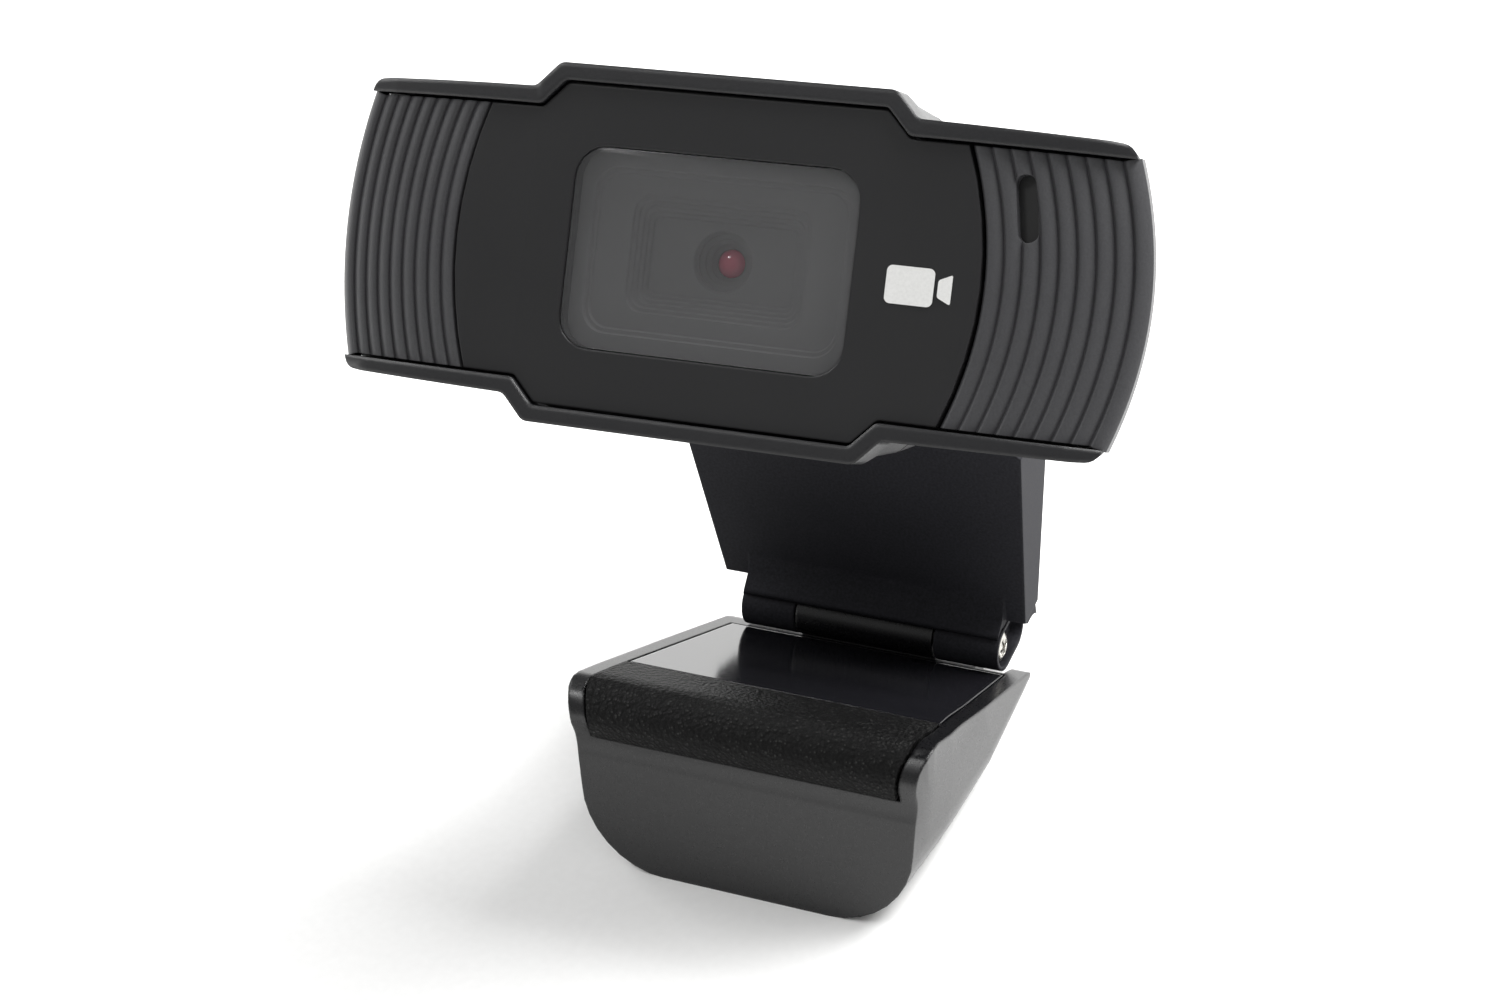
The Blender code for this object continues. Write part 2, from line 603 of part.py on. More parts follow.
for side, label in ((-1, "left"), (1, "right")):
    combine(housing, place(label + "_head_seat", rod_mesh(
        label + "_head_seat", 2.6 * mm, back - 0.9 * mm, back + 3 * mm, "Y",
        (side * SCREW_OFFSET, 0.0, 0.0)), "head"), 'DIFFERENCE')
    combine(housing, place(label + "_clear", rod_mesh(
        label + "_clear", 1.35 * mm, back - 6 * mm, back + 3 * mm, "Y",
        (side * SCREW_OFFSET, 0.0, 0.0), 16), "head"), 'DIFFERENCE')
    pan_head_screw("housing_screw_" + label, 1.0 * mm, 2.2 * mm, 1.1 * mm, 17.5 * mm,
                   facing((0, 1, 0), (side * SCREW_OFFSET, back + 0.5 * mm, 0.0)), "head")
gland_x = -13.0 * mm
gland_z = -7.5 * mm
combine(housing, place("gland_hole", rod_mesh(
    "gland_hole", 2.9 * mm, back - 6 * mm, back + 3 * mm, "Y", (gland_x, 0.0, gland_z)),
    "head"), 'DIFFERENCE')
gland = turned("cable_gland", [(1.7 * mm, 4.2 * mm), (2.3 * mm, 4.2 * mm),
                               (2.6 * mm, 1.6 * mm), (3.6 * mm, 1.3 * mm),
                               (3.6 * mm, 0.3 * mm), (2.6 * mm, 0.3 * mm),
                               (2.6 * mm, -3.4 * mm), (1.7 * mm, -3.4 * mm),
                               (1.7 * mm, 4.2 * mm)], "Y", (0.0, 0.0, 0.0), "head",
               rubber, 24)
gland.matrix_basis = (Matrix.Translation(frames["head"][1])
                      @ facing((0, 1, 0), (gland_x, back, gland_z)))

print("swivel")
fork = place("swivel_fork", plate_mesh("swivel_fork", rounded_rectangle(
    8.4 * mm, 5.0 * mm, 2.0 * mm), NECK_TOP + 1.4 * mm, NECK_TOP + 4.4 * mm, "XY"),
    "pan", satin)
pin_z = PIVOT_Z
cheek_inner = knuckle_half + GAP
cheek_outer = cheek_inner + 2.6 * mm
for side, label in ((-1, "left"), (1, "right")):
    cheek = [(4.2 * mm, NECK_TOP + 2.4 * mm)] + arc(0.0, pin_z, 4.2 * mm, 0, 180, 12)
    cheek += [(-4.2 * mm, NECK_TOP + 2.4 * mm)]
    low = min(side * cheek_inner, side * cheek_outer)
    high = max(side * cheek_inner, side * cheek_outer)
    combine(fork, place(label + "_cheek", plate_mesh(label + "_cheek", cheek, low, high,
                                                     "YZ"), "pan"), 'UNION')
combine(fork, place("fork_bore", rod_mesh("fork_bore", 1.8 * mm, -12 * mm, 12 * mm, "X",
                                          (0.0, 0.0, pin_z), 20), "pan"), 'DIFFERENCE')
combine(fork, place("swivel_bore", rod_mesh(
    "swivel_bore", 1.6 * mm, NECK_TOP - 2 * mm, NECK_TOP + 8 * mm, "Z", (0.0, 0.0, 0.0),
    20), "pan"), 'DIFFERENCE')
combine(fork, place("swivel_seat", rod_mesh(
    "swivel_seat", 3.1 * mm, NECK_TOP + 2.9 * mm, NECK_TOP + 8 * mm, "Z",
    (0.0, 0.0, 0.0)), "pan"), 'DIFFERENCE')
pan_head_screw("swivel_screw", 1.3 * mm, 2.7 * mm, 1.4 * mm, 11.0 * mm,
               facing((0, 0, 1), (0.0, 0.0, NECK_TOP + 4.6 * mm)), "pan")
turned("swivel_washer", [(1.7 * mm, 1.1 * mm), (4.7 * mm, 1.1 * mm),
                         (4.7 * mm, 0.3 * mm), (1.7 * mm, 0.3 * mm),
                         (1.7 * mm, 1.1 * mm)], "Z", (0.0, 0.0, NECK_TOP), "pan", inner)
pan_head_screw("tilt_screw", 1.5 * mm, 3.0 * mm, 1.6 * mm, 18.6 * mm,
               facing((1, 0, 0), (cheek_outer + 1.9 * mm, 0.0, pin_z)), "pan")


def nut_mesh(name, flats, start, end, axis, centre, hole):
    """A hexagonal nut with a clear bore, made as one ring of walls."""
    outer = flats / math.sqrt(3)
    work = bmesh.new()
    inner_ring = []
    outer_ring = []
    for index in range(24):
        angle = math.radians(15 * index)
        sector = math.radians(60 * round(math.degrees(angle) / 60))
        reach = flats / 2 / math.cos(angle - sector)
        reach = min(reach, outer)
        outer_ring.append((reach * math.cos(angle), reach * math.sin(angle)))
        inner_ring.append((hole * math.cos(angle), hole * math.sin(angle)))
    rings = [[(u, v, start) for u, v in outer_ring], [(u, v, end) for u, v in outer_ring],
             [(u, v, end) for u, v in inner_ring], [(u, v, start) for u, v in inner_ring]]
    rings = [[work.verts.new(point) for point in ring] for ring in rings]
    for first, second in zip(rings, rings[1:] + rings[:1]):
        for index in range(24):
            after = (index + 1) % 24
            work.faces.new((first[index], first[after], second[after], second[index]))
    bmesh.ops.recalc_face_normals(work, faces=work.faces)
    bmesh.ops.transform(work, matrix=along(axis, centre), verts=work.verts)
    mesh = bpy.data.meshes.new(name)
    work.to_mesh(mesh)
    work.free()
    return mesh


place("tilt_nut", nut_mesh("tilt_nut", 5.4 * mm, -cheek_outer - 2.7 * mm,
                           -cheek_outer - 0.3 * mm, "X", (0.0, 0.0, pin_z), 1.8 * mm),
      "pan", steel)
place("swivel_nut", nut_mesh("swivel_nut", 5.0 * mm, NECK_TOP - 5.6 * mm,
                             NECK_TOP - 3.3 * mm, "Z", (0.0, 0.0, 0.0), 1.6 * mm),
      "pan", steel)

print("neck")
flare = NECK_HALF_WIDTH * 1.10
shoulder = NECK_TOP - 9.0 * mm
neck_bottom = HINGE_Z + BARREL_RADIUS + GAP


def neck_outline(inset, foot, top):
    """The front view of the neck: tapered sides, then shoulders."""
    crown = 9.0 * mm
    right = [(NECK_HALF_WIDTH - inset, foot), (flare - inset, shoulder - inset * 0.4),
             (crown - inset, top)]
    return right + [(-u, v) for u, v in reversed(right)]


neck = place("neck_plate", plate_mesh("neck_plate", neck_outline(0.0, neck_bottom,
                                                                 NECK_TOP),
                                      NECK_FRONT, NECK_BACK + 2 * mm, "XZ"), "neck", satin)
flange_low = 3.8 * mm


def back_line(pull):
    """The side view of the back edges of the neck, moved in by a distance."""
    return [(NECK_FRONT + flange_low - pull, neck_bottom - 3 * mm),
            (NECK_BACK - 2.0 * mm - pull, shoulder - 3 * mm),
            (NECK_BACK - pull, NECK_TOP - 4 * mm), (NECK_BACK - pull, NECK_TOP + 3 * mm)]


neck_side = [(NECK_FRONT - 1 * mm, NECK_TOP + 3 * mm),
             (NECK_FRONT - 1 * mm, neck_bottom - 3 * mm)] + back_line(0.0)
combine(neck, place("neck_side", plate_mesh("neck_side", neck_side, -30 * mm, 30 * mm,
                                            "YZ"), "neck"), 'INTERSECT')
combine(neck, place("neck_pocket", plate_mesh(
    "neck_pocket", neck_outline(WALL, neck_bottom + WALL, NECK_TOP - 3 * mm),
    NECK_FRONT + NECK_PLATE, NECK_BACK + 6 * mm, "XZ"), "neck"), 'DIFFERENCE')
axis_point = (0.0, HINGE_Y, HINGE_Z)
inner_x = CENTRE_KNUCKLE_HALF + GAP
for side, label in ((-1, "left"), (1, "right")):
    low = BARREL_LEFT if side < 0 else inner_x
    high = -inner_x if side < 0 else BARREL_RIGHT
    combine(neck, place(label + "_neck_knuckle", rod_mesh(
        label + "_neck_knuckle", BARREL_RADIUS, low, high, "X", axis_point), "neck"),
        'UNION')
    combine(neck, place(label + "_neck_web", box_mesh(
        label + "_neck_web", (low + 0.1 * mm, HINGE_Y + 0.2 * mm, HINGE_Z),
        (high - 0.1 * mm, NECK_FRONT + 1.6 * mm, neck_bottom + 1.0 * mm)), "neck"),
        'UNION')


def ear_outline(radius, turn, round_back):
    """The oval right end of the hinge barrel, seen from the side and turned."""
    lean = math.degrees(turn)
    points = arc(HINGE_Y + EAR_REACH * math.cos(turn), HINGE_Z + EAR_REACH * math.sin(turn),
                 radius, lean + 90, lean - 90, 10)
    if round_back:
        return points + arc(HINGE_Y, HINGE_Z, radius, lean - 90, lean - 270, 10)
    across = (radius * math.sin(turn), radius * math.cos(turn))
    return points + [(HINGE_Y + across[0], HINGE_Z - across[1]),
                     (HINGE_Y - across[0], HINGE_Z + across[1])]


combine(neck, place("right_ear", plate_mesh(
    "right_ear", ear_outline(BARREL_RADIUS, 0.0, False), BARREL_RIGHT - EAR_WIDTH,
    BARREL_RIGHT, "YZ"), "neck"), 'UNION')
relief = BARREL_RADIUS + GAP + 0.05 * mm
lip = [(NECK_FRONT + 0.2 * mm, neck_bottom + 4.4 * mm),
       (NECK_FRONT - 0.15 * mm, neck_bottom + 3.2 * mm),
       (NECK_FRONT - 0.55 * mm, neck_bottom + 2.1 * mm),
       (NECK_FRONT - 1.25 * mm, neck_bottom + 1.1 * mm),
       (HINGE_Y - 1.35 * mm, HINGE_Z + relief - 0.05 * mm)]
lip += arc(HINGE_Y, HINGE_Z, relief, 123, 63, 6)
combine(neck, place("neck_lip", plate_mesh("neck_lip", lip, BARREL_LEFT + 0.1 * mm,
                                           BARREL_RIGHT - 0.1 * mm, "YZ"), "neck"),
        'UNION')
for side, label in ((-1, "left"), (1, "right")):
    tail = [(NECK_FRONT, neck_bottom + 1.5 * mm), (NECK_FRONT, neck_bottom),
            (NECK_FRONT + 3.4 * mm, neck_bottom - 2.8 * mm),
            (NECK_FRONT + flange_low, neck_bottom - 2.6 * mm),
            (NECK_FRONT + flange_low, neck_bottom + 1.5 * mm)]
    low = min(side * (NECK_HALF_WIDTH - WALL), side * (NECK_HALF_WIDTH - 0.1 * mm))
    high = max(side * (NECK_HALF_WIDTH - WALL), side * (NECK_HALF_WIDTH - 0.1 * mm))
    combine(neck, place(label + "_flange_tail", plate_mesh(
        label + "_flange_tail", tail, low, high, "YZ"), "neck"), 'UNION')
well = BARREL_RADIUS - 0.5 * mm
combine(neck, place("ear_pocket", plate_mesh(
    "ear_pocket", ear_outline(well, 0.0, True), BARREL_RIGHT - 1.5 * mm,
    BARREL_RIGHT + 3 * mm, "YZ"), "neck"), 'DIFFERENCE')
combine(neck, place("nut_pocket", rod_mesh(
    "nut_pocket", well, BARREL_LEFT - 3 * mm, BARREL_LEFT + 1.8 * mm,
    "X", axis_point), "neck"), 'DIFFERENCE')
combine(neck, place("neck_hinge_bore", rod_mesh(
    "neck_hinge_bore", 1.5 * mm, -25 * mm, 25 * mm, "X", axis_point, 20), "neck"),
    'DIFFERENCE')
combine(neck, place("platform_bore", rod_mesh(
    "platform_bore", 1.6 * mm, NECK_TOP - 8 * mm, NECK_TOP + 4 * mm, "Z",
    (0.0, PIVOT_Y, 0.0), 20), "neck"), 'DIFFERENCE')
cover_thick = 1.5 * mm
cover_line = back_line(0.4 * mm)
cover_side = cover_line + [(y - cover_thick, z) for y, z in reversed(cover_line)]
cover = place("neck_cover", plate_mesh("neck_cover", neck_outline(
    WALL + GAP, neck_bottom + WALL + GAP, NECK_TOP - 3 * mm - GAP), NECK_FRONT,
    NECK_BACK + 4 * mm, "XZ"), "neck", satin)
combine(cover, place("cover_side", plate_mesh("cover_side", cover_side, -30 * mm,
                                              30 * mm, "YZ"), "neck"), 'INTERSECT')


def cover_back(z):
    """The depth of the cover's outer face at a height."""
    (y0, z0), (y1, z1) = cover_line[0], cover_line[1]
    return y0 + (y1 - y0) * (z - z0) / (z1 - z0)


screw_z = 20.0 * mm
for side, label in ((-1, "left"), (1, "right")):
    spot = side * 9.5 * mm
    outer = cover_back(screw_z)
    combine(neck, place(label + "_neck_boss", rod_mesh(
        label + "_neck_boss", 2.2 * mm, NECK_FRONT + 1 * mm,
        outer - cover_thick - 0.9 * mm, "Y", (spot, 0.0, screw_z), 20), "neck"), 'UNION')
    combine(neck, place(label + "_neck_pilot", rod_mesh(
        label + "_neck_pilot", 1.1 * mm, NECK_FRONT + 1.4 * mm, outer + 2 * mm, "Y",
        (spot, 0.0, screw_z), 16), "neck"), 'DIFFERENCE')
    combine(cover, place(label + "_cover_hole", rod_mesh(
        label + "_cover_hole", 2.2 * mm, NECK_FRONT, outer + 4 * mm, "Y",
        (spot, 0.0, screw_z), 20), "neck"), 'DIFFERENCE')
    pan_head_screw("neck_screw_" + label, 0.8 * mm, 1.8 * mm, 1.0 * mm,
                   outer - NECK_FRONT - 2.2 * mm,
                   facing((0, 1, 0), (spot, outer - 0.2 * mm, screw_z)), "neck")

print("hinge fasteners")
pan_head_screw("hinge_screw", 1.2 * mm, 2.0 * mm, 1.0 * mm,
               BARREL_RIGHT - BARREL_LEFT - 0.7 * mm,
               facing((1, 0, 0), (BARREL_RIGHT - 0.2 * mm, HINGE_Y, HINGE_Z)),
               "neck")
place("hinge_nut", nut_mesh("hinge_nut", 3.7 * mm, BARREL_LEFT + 0.2 * mm,
                            BARREL_LEFT + 1.5 * mm, "X", axis_point, 1.5 * mm),
      "neck", steel)

print("base")
slope_dir = Vector((-math.cos(BASE_SLOPE), math.sin(BASE_SLOPE)))
slope_up = Vector((math.sin(BASE_SLOPE), math.cos(BASE_SLOPE)))
top_rear = Vector((REAR_Y - 0.7 * mm, REAR_HEIGHT))
nose_reach = 34.6 * mm * BASE_LENGTH / (40.8 * mm)
nose_top = top_rear + slope_dir * nose_reach
nose_centre = nose_top - slope_up * NOSE_RADIUS


def side_profile(inset):
    """Top of the base seen from the side: slope, nose, hollow, front flap."""
    radius = NOSE_RADIUS - inset
    points = [tuple(top_rear - slope_up * inset), tuple(nose_top - slope_up * inset)]
    start = 90 - math.degrees(BASE_SLOPE)
    points += arc(nose_centre.x, nose_centre.y, radius, start + 20, 195, 8)
    lean = Vector((-math.sin(FLAP_LEAN), -math.cos(FLAP_LEAN)))
    inward = Vector((math.cos(FLAP_LEAN), -math.sin(FLAP_LEAN)))
    foot = Vector((FRONT_Y, 0.0)) + inward * inset
    rise = (nose_centre.y - NOSE_RADIUS * 1.15) / math.cos(FLAP_LEAN)
    high = foot - lean * rise
    last = Vector(points[-1])
    bend = Vector((last.x + 0.25 * mm, (last.y + high.y) / 2 + 0.6 * mm))
    for step in range(1, 6):
        t = step / 6
        mixed = last * (1 - t) ** 2 + bend * 2 * t * (1 - t) + high * t * t
        points.append(tuple(mixed))
    points.append(tuple(high))
    points.append(tuple(foot + lean * 3 * mm))
    return points


def half_width(y, upper):
    """Half the width of the base along its length, low down or at its rim."""
    low = [(REAR_Y + 3 * mm, 0.99), (REAR_Y, 1.0), (FRONT_Y + 24 * mm, 1.07),
           (FRONT_Y + 12 * mm, 1.065), (FRONT_Y - 3 * mm, 1.01)]
    rim = [(REAR_Y + 3 * mm, 0.99), (REAR_Y, 1.0), (FRONT_Y + 15 * mm, 1.105),
           (FRONT_Y + 8 * mm, 1.1), (FRONT_Y + 4.6 * mm, 1.06),
           (FRONT_Y - 3 * mm, 1.035)]
    stations = rim if upper else low
    for (y0, k0), (y1, k1) in zip(stations, stations[1:]):
        if y >= y1:
            share = (y0 - y) / (y0 - y1)
            return BASE_HALF_WIDTH * (k0 + (k1 - k0) * share)
    return BASE_HALF_WIDTH * stations[-1][1]


def hull_mesh(name, inset, floor):
    """The hull of the base, lofted from round-bottomed sections."""
    rows = [REAR_Y + 2.5 * mm, REAR_Y - 6 * mm, REAR_Y - 16 * mm]
    rows += [FRONT_Y + k * mm for k in (14, 11, 8.8, 7.4, 5.9, 4.5, 2, -2)]
    rim_height = 18.0 * mm
    ceiling = 34.0 * mm
    sections = []
    for y in rows:
        share = (REAR_Y - y) / BASE_LENGTH
        radius = CORNER_REAR + (CORNER_FRONT - CORNER_REAR) * share
        low = half_width(y, False) - inset
        high = half_width(y, True) - inset
        radius = max(radius - inset, 0.4 * mm)
        start = floor + radius
        flare = (high - low) * (ceiling - start) / (rim_height - radius)
        ring = [(low + flare * k, start + (ceiling - start) * k) for k in (1, 0.5, 0.25)]
        ring += arc(low - radius, start, radius, 0, -90, 8)
        ring = ring + [(-u, v) for u, v in reversed(ring)]
        sections.append([(u, y, v) for u, v in ring])
    return loft_mesh(name, sections)


profile = side_profile(0.0)
floor_points = [(FRONT_Y - 1 * mm, -3 * mm), (REAR_Y + 0.1 * mm, -3 * mm),
                (REAR_Y + 0.1 * mm, REAR_HEIGHT - 0.6 * mm)]
shell = place("base_shell", hull_mesh("base_shell", 0.0, 0.0), "base", satin)
combine(shell, place("base_profile", plate_mesh("base_profile", profile + floor_points,
                                                -32 * mm, 32 * mm, "YZ"), "base"),
        'INTERSECT')
inside = side_profile(3.2 * mm)
inside = [point for point in inside if point[1] > 2.0 * mm]
inside_floor = [(inside[-1][0] - 0.6 * mm, 2.0 * mm), (REAR_Y - 5.5 * mm, 2.0 * mm),
                (REAR_Y - 5.5 * mm, 2.2 * mm)]
cavity = place("base_cavity", hull_mesh("base_cavity", WALL + 0.2 * mm, -1 * mm), "base")
combine(cavity, place("cavity_profile", plate_mesh(
    "cavity_profile", inside[1:] + inside_floor, -32 * mm, 32 * mm, "YZ"), "base"),
    'INTERSECT')
combine(shell, cavity, 'DIFFERENCE')


def cover_plan(inset):
    """The plan of the opening under the base and of the plate that closes it."""
    rear = REAR_Y - 6.2 * mm
    front = FRONT_Y + 5.0 * mm
    wide = BASE_HALF_WIDTH - CORNER_REAR - 2.2 * mm - inset
    narrow = BASE_HALF_WIDTH - CORNER_FRONT - inset
    return filleted([(wide, rear - inset, 1 * mm), (-wide, rear - inset, 1 * mm),
                     (-narrow, front + inset, 1 * mm), (narrow, front + inset, 1 * mm)], 3)


combine(shell, place("cover_opening", plate_mesh("cover_opening", cover_plan(0.0),
                                                 -2 * mm, 2.6 * mm, "XY"), "base"),
        'DIFFERENCE')
insert = side_profile(1.5 * mm)
slope_share = 0.79
rear_point = top_rear + slope_dir * 2.6 * mm
split_point = top_rear + slope_dir * nose_reach * slope_share
recess_up = [tuple(rear_point + slope_up * 3 * mm), tuple(split_point + slope_up * 3 * mm),
             tuple(split_point - slope_up * 1.5 * mm),
             tuple(rear_point - slope_up * 0.9 * mm)]
top_recess = place("top_recess", hull_mesh("top_recess", RIM_WIDTH, -1 * mm), "base")
combine(top_recess, place("recess_profile", plate_mesh("recess_profile", recess_up,
                                                       -32 * mm, 32 * mm, "YZ"), "base"),
        'INTERSECT')
combine(shell, top_recess, 'DIFFERENCE')


def skin(inner_depth, outer_depth, start, end_index):
    """A strip that follows the nose between two depths."""
    deep = side_profile(inner_depth)[1:end_index]
    shallow = side_profile(outer_depth)[1:end_index]
    for row in (deep, shallow):
        row[-1] = tuple(Vector(row[-2]).lerp(Vector(row[-1]), 0.7))
    deep = [tuple(start - slope_up * inner_depth)] + deep
    shallow = [tuple(start - slope_up * outer_depth)] + shallow
    return shallow + list(reversed(deep))


last_index = 13
pad_start = split_point + slope_dir * 0.5 * mm
pad_recess = place("pad_recess", hull_mesh("pad_recess", RIM_WIDTH, -1 * mm), "base")
combine(pad_recess, place("pad_recess_strip", plate_mesh(
    "pad_recess_strip", skin(1.0 * mm, -2.5 * mm, pad_start, last_index), -32 * mm,
    32 * mm, "YZ"), "base"), 'INTERSECT')
combine(shell, pad_recess, 'DIFFERENCE')
# Room for the ear of the hinge barrel when the neck is folded right back
combine(shell, place("ear_relief", plate_mesh(
    "ear_relief", ear_outline(BARREL_RADIUS + GAP, FOLD_BACK_LIMIT, False),
    BARREL_RIGHT - EAR_WIDTH - GAP, BARREL_RIGHT + GAP, "YZ"), "base"), 'DIFFERENCE')
combine(shell, place("centre_knuckle", rod_mesh(
    "centre_knuckle", BARREL_RADIUS, -CENTRE_KNUCKLE_HALF, CENTRE_KNUCKLE_HALF, "X",
    axis_point), "base"), 'UNION')
combine(shell, place("knuckle_web", box_mesh(
    "knuckle_web", (-CENTRE_KNUCKLE_HALF + 0.1 * mm, HINGE_Y - 1.9 * mm, 1.0 * mm),
    (CENTRE_KNUCKLE_HALF - 0.1 * mm, HINGE_Y + 0.2 * mm, HINGE_Z - 0.6 * mm)), "base"),
    'UNION')
combine(shell, place("centre_bore", rod_mesh(
    "centre_bore", 1.5 * mm, -25 * mm, 25 * mm, "X", axis_point, 20), "base"),
    'DIFFERENCE')
for label, spot_x, spot_y in (("left", -8.5 * mm, REAR_Y - 17 * mm),
                              ("right", 8.5 * mm, REAR_Y - 17 * mm)):
    combine(shell, place(label + "_base_boss", rod_mesh(
        label + "_base_boss", 2.4 * mm, 2.3 * mm, 9.5 * mm, "Z", (spot_x, spot_y, 0.0),
        20), "base"), 'UNION')
    combine(shell, place(label + "_base_pilot", rod_mesh(
        label + "_base_pilot", 1.1 * mm, 0.0, 6.5 * mm, "Z", (spot_x, spot_y, 0.0), 16),
        "base"), 'DIFFERENCE')

top = place("top_plate", hull_mesh("top_plate", RIM_WIDTH + GAP, -1 * mm), "base",
            gloss)
thin = [tuple(rear_point + slope_dir * GAP * 0.6), tuple(split_point - slope_dir * GAP),
        tuple(split_point - slope_dir * GAP - slope_up * 1.2 * mm),
        tuple(rear_point + slope_dir * GAP * 0.6 - slope_up * 0.6 * mm)]
combine(top, place("top_strip", plate_mesh("top_strip", thin, -32 * mm, 32 * mm, "YZ"),
                   "base"), 'INTERSECT')
pad = place("grip_pad", hull_mesh("grip_pad", RIM_WIDTH + GAP, -1 * mm), "base", rubber)
combine(pad, place("pad_strip", plate_mesh(
    "pad_strip", skin(0.7 * mm, -0.25 * mm, pad_start + slope_dir * GAP,
                      last_index - 1), -32 * mm, 32 * mm, "YZ"), "base"), 'INTERSECT')
under = place("base_cover", plate_mesh("base_cover", cover_plan(GAP), 0.0, 1.8 * mm,
                                       "XY"), "base", satin)
for label, side in (("left", -1), ("right", 1)):
    spot = (side * 8.5 * mm, REAR_Y - 17 * mm, 0.0)
    combine(under, place(label + "_under_hole", rod_mesh(
        label + "_under_hole", 1.15 * mm, -2 * mm, 4 * mm, "Z", spot, 16), "base"),
        'DIFFERENCE')
    combine(under, place(label + "_under_seat", rod_mesh(
        label + "_under_seat", 2.1 * mm, -2 * mm, 1.1 * mm, "Z", spot, 20), "base"),
        'DIFFERENCE')
    pan_head_screw("base_screw_" + label, 0.8 * mm, 1.8 * mm, 0.7 * mm, 5.6 * mm,
                   facing((0, 0, -1), (spot[0], spot[1], 0.1 * mm)), "base")
print("done")
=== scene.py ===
import json
import math

import bmesh
import bpy
from mathutils import Matrix, Vector


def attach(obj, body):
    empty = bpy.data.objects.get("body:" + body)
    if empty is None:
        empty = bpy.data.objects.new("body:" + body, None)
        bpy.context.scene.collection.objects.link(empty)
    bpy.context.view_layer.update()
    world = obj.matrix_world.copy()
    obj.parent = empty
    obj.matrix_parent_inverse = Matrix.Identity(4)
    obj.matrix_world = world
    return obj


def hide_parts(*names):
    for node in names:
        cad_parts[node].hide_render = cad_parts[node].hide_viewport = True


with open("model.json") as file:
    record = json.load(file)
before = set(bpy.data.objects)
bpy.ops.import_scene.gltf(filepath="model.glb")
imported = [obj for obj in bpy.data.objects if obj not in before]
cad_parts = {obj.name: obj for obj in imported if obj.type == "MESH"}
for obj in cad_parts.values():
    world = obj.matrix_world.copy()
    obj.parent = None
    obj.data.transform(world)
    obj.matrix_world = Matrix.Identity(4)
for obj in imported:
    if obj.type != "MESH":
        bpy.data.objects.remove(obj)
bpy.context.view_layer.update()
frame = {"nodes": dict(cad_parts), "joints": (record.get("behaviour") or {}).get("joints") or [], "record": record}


mm = 0.001
nodes = frame["nodes"]
joints = {joint["name"]: joint for joint in frame["joints"]}
coll = bpy.context.scene.collection

# The head's own frame: x along the face, y into the head, z up the face,
# with its zero at the middle of the face.
tiltPivot = Vector(joints["head_tilt"]["pos_m"])
tiltAxis = Vector(joints["head_tilt"]["axis"])
head = {
    "lookUp": math.radians(39.6),
    "pivotDepth": 38 * mm,
    "pivotRise": 1.2 * mm,
}
headPlace = (
    Matrix.Translation(tiltPivot)
    @ Matrix.Rotation(math.atan2(tiltAxis.y, tiltAxis.x), 4, "Z")
    @ Matrix.Rotation(-head["lookUp"], 4, "X")
    @ Matrix.Translation((0, -head["pivotDepth"], -head["pivotRise"]))
)

print("materials")


def linear(hexText):
    # sRGB hex to the linear values that the shader reads
    values = [int(hexText[i:i + 2], 16) / 255 for i in (1, 3, 5)]
    return [v / 12.92 if v <= 0.04045 else ((v + 0.055) / 1.055) ** 2.4 for v in values] + [1]


def addNode(tree, kind, settings=None, links=None):
    node = tree.nodes.new(kind)
    for key, value in (settings or {}).items():
        if isinstance(key, int) or key in node.inputs:
            node.inputs[key].default_value = value
        else:
            setattr(node, key, value)
    for key, socket in (links or {}).items():
        tree.links.new(socket, node.inputs[key])
    return node


def startMaterial(name):
    mat = bpy.data.materials.new(name)
    mat.use_nodes = True
    tree = mat.node_tree
    tree.nodes.clear()
    out = addNode(tree, "ShaderNodeOutputMaterial")
    place = addNode(tree, "ShaderNodeTexCoord")
    return mat, tree, out, place.outputs["Object"]


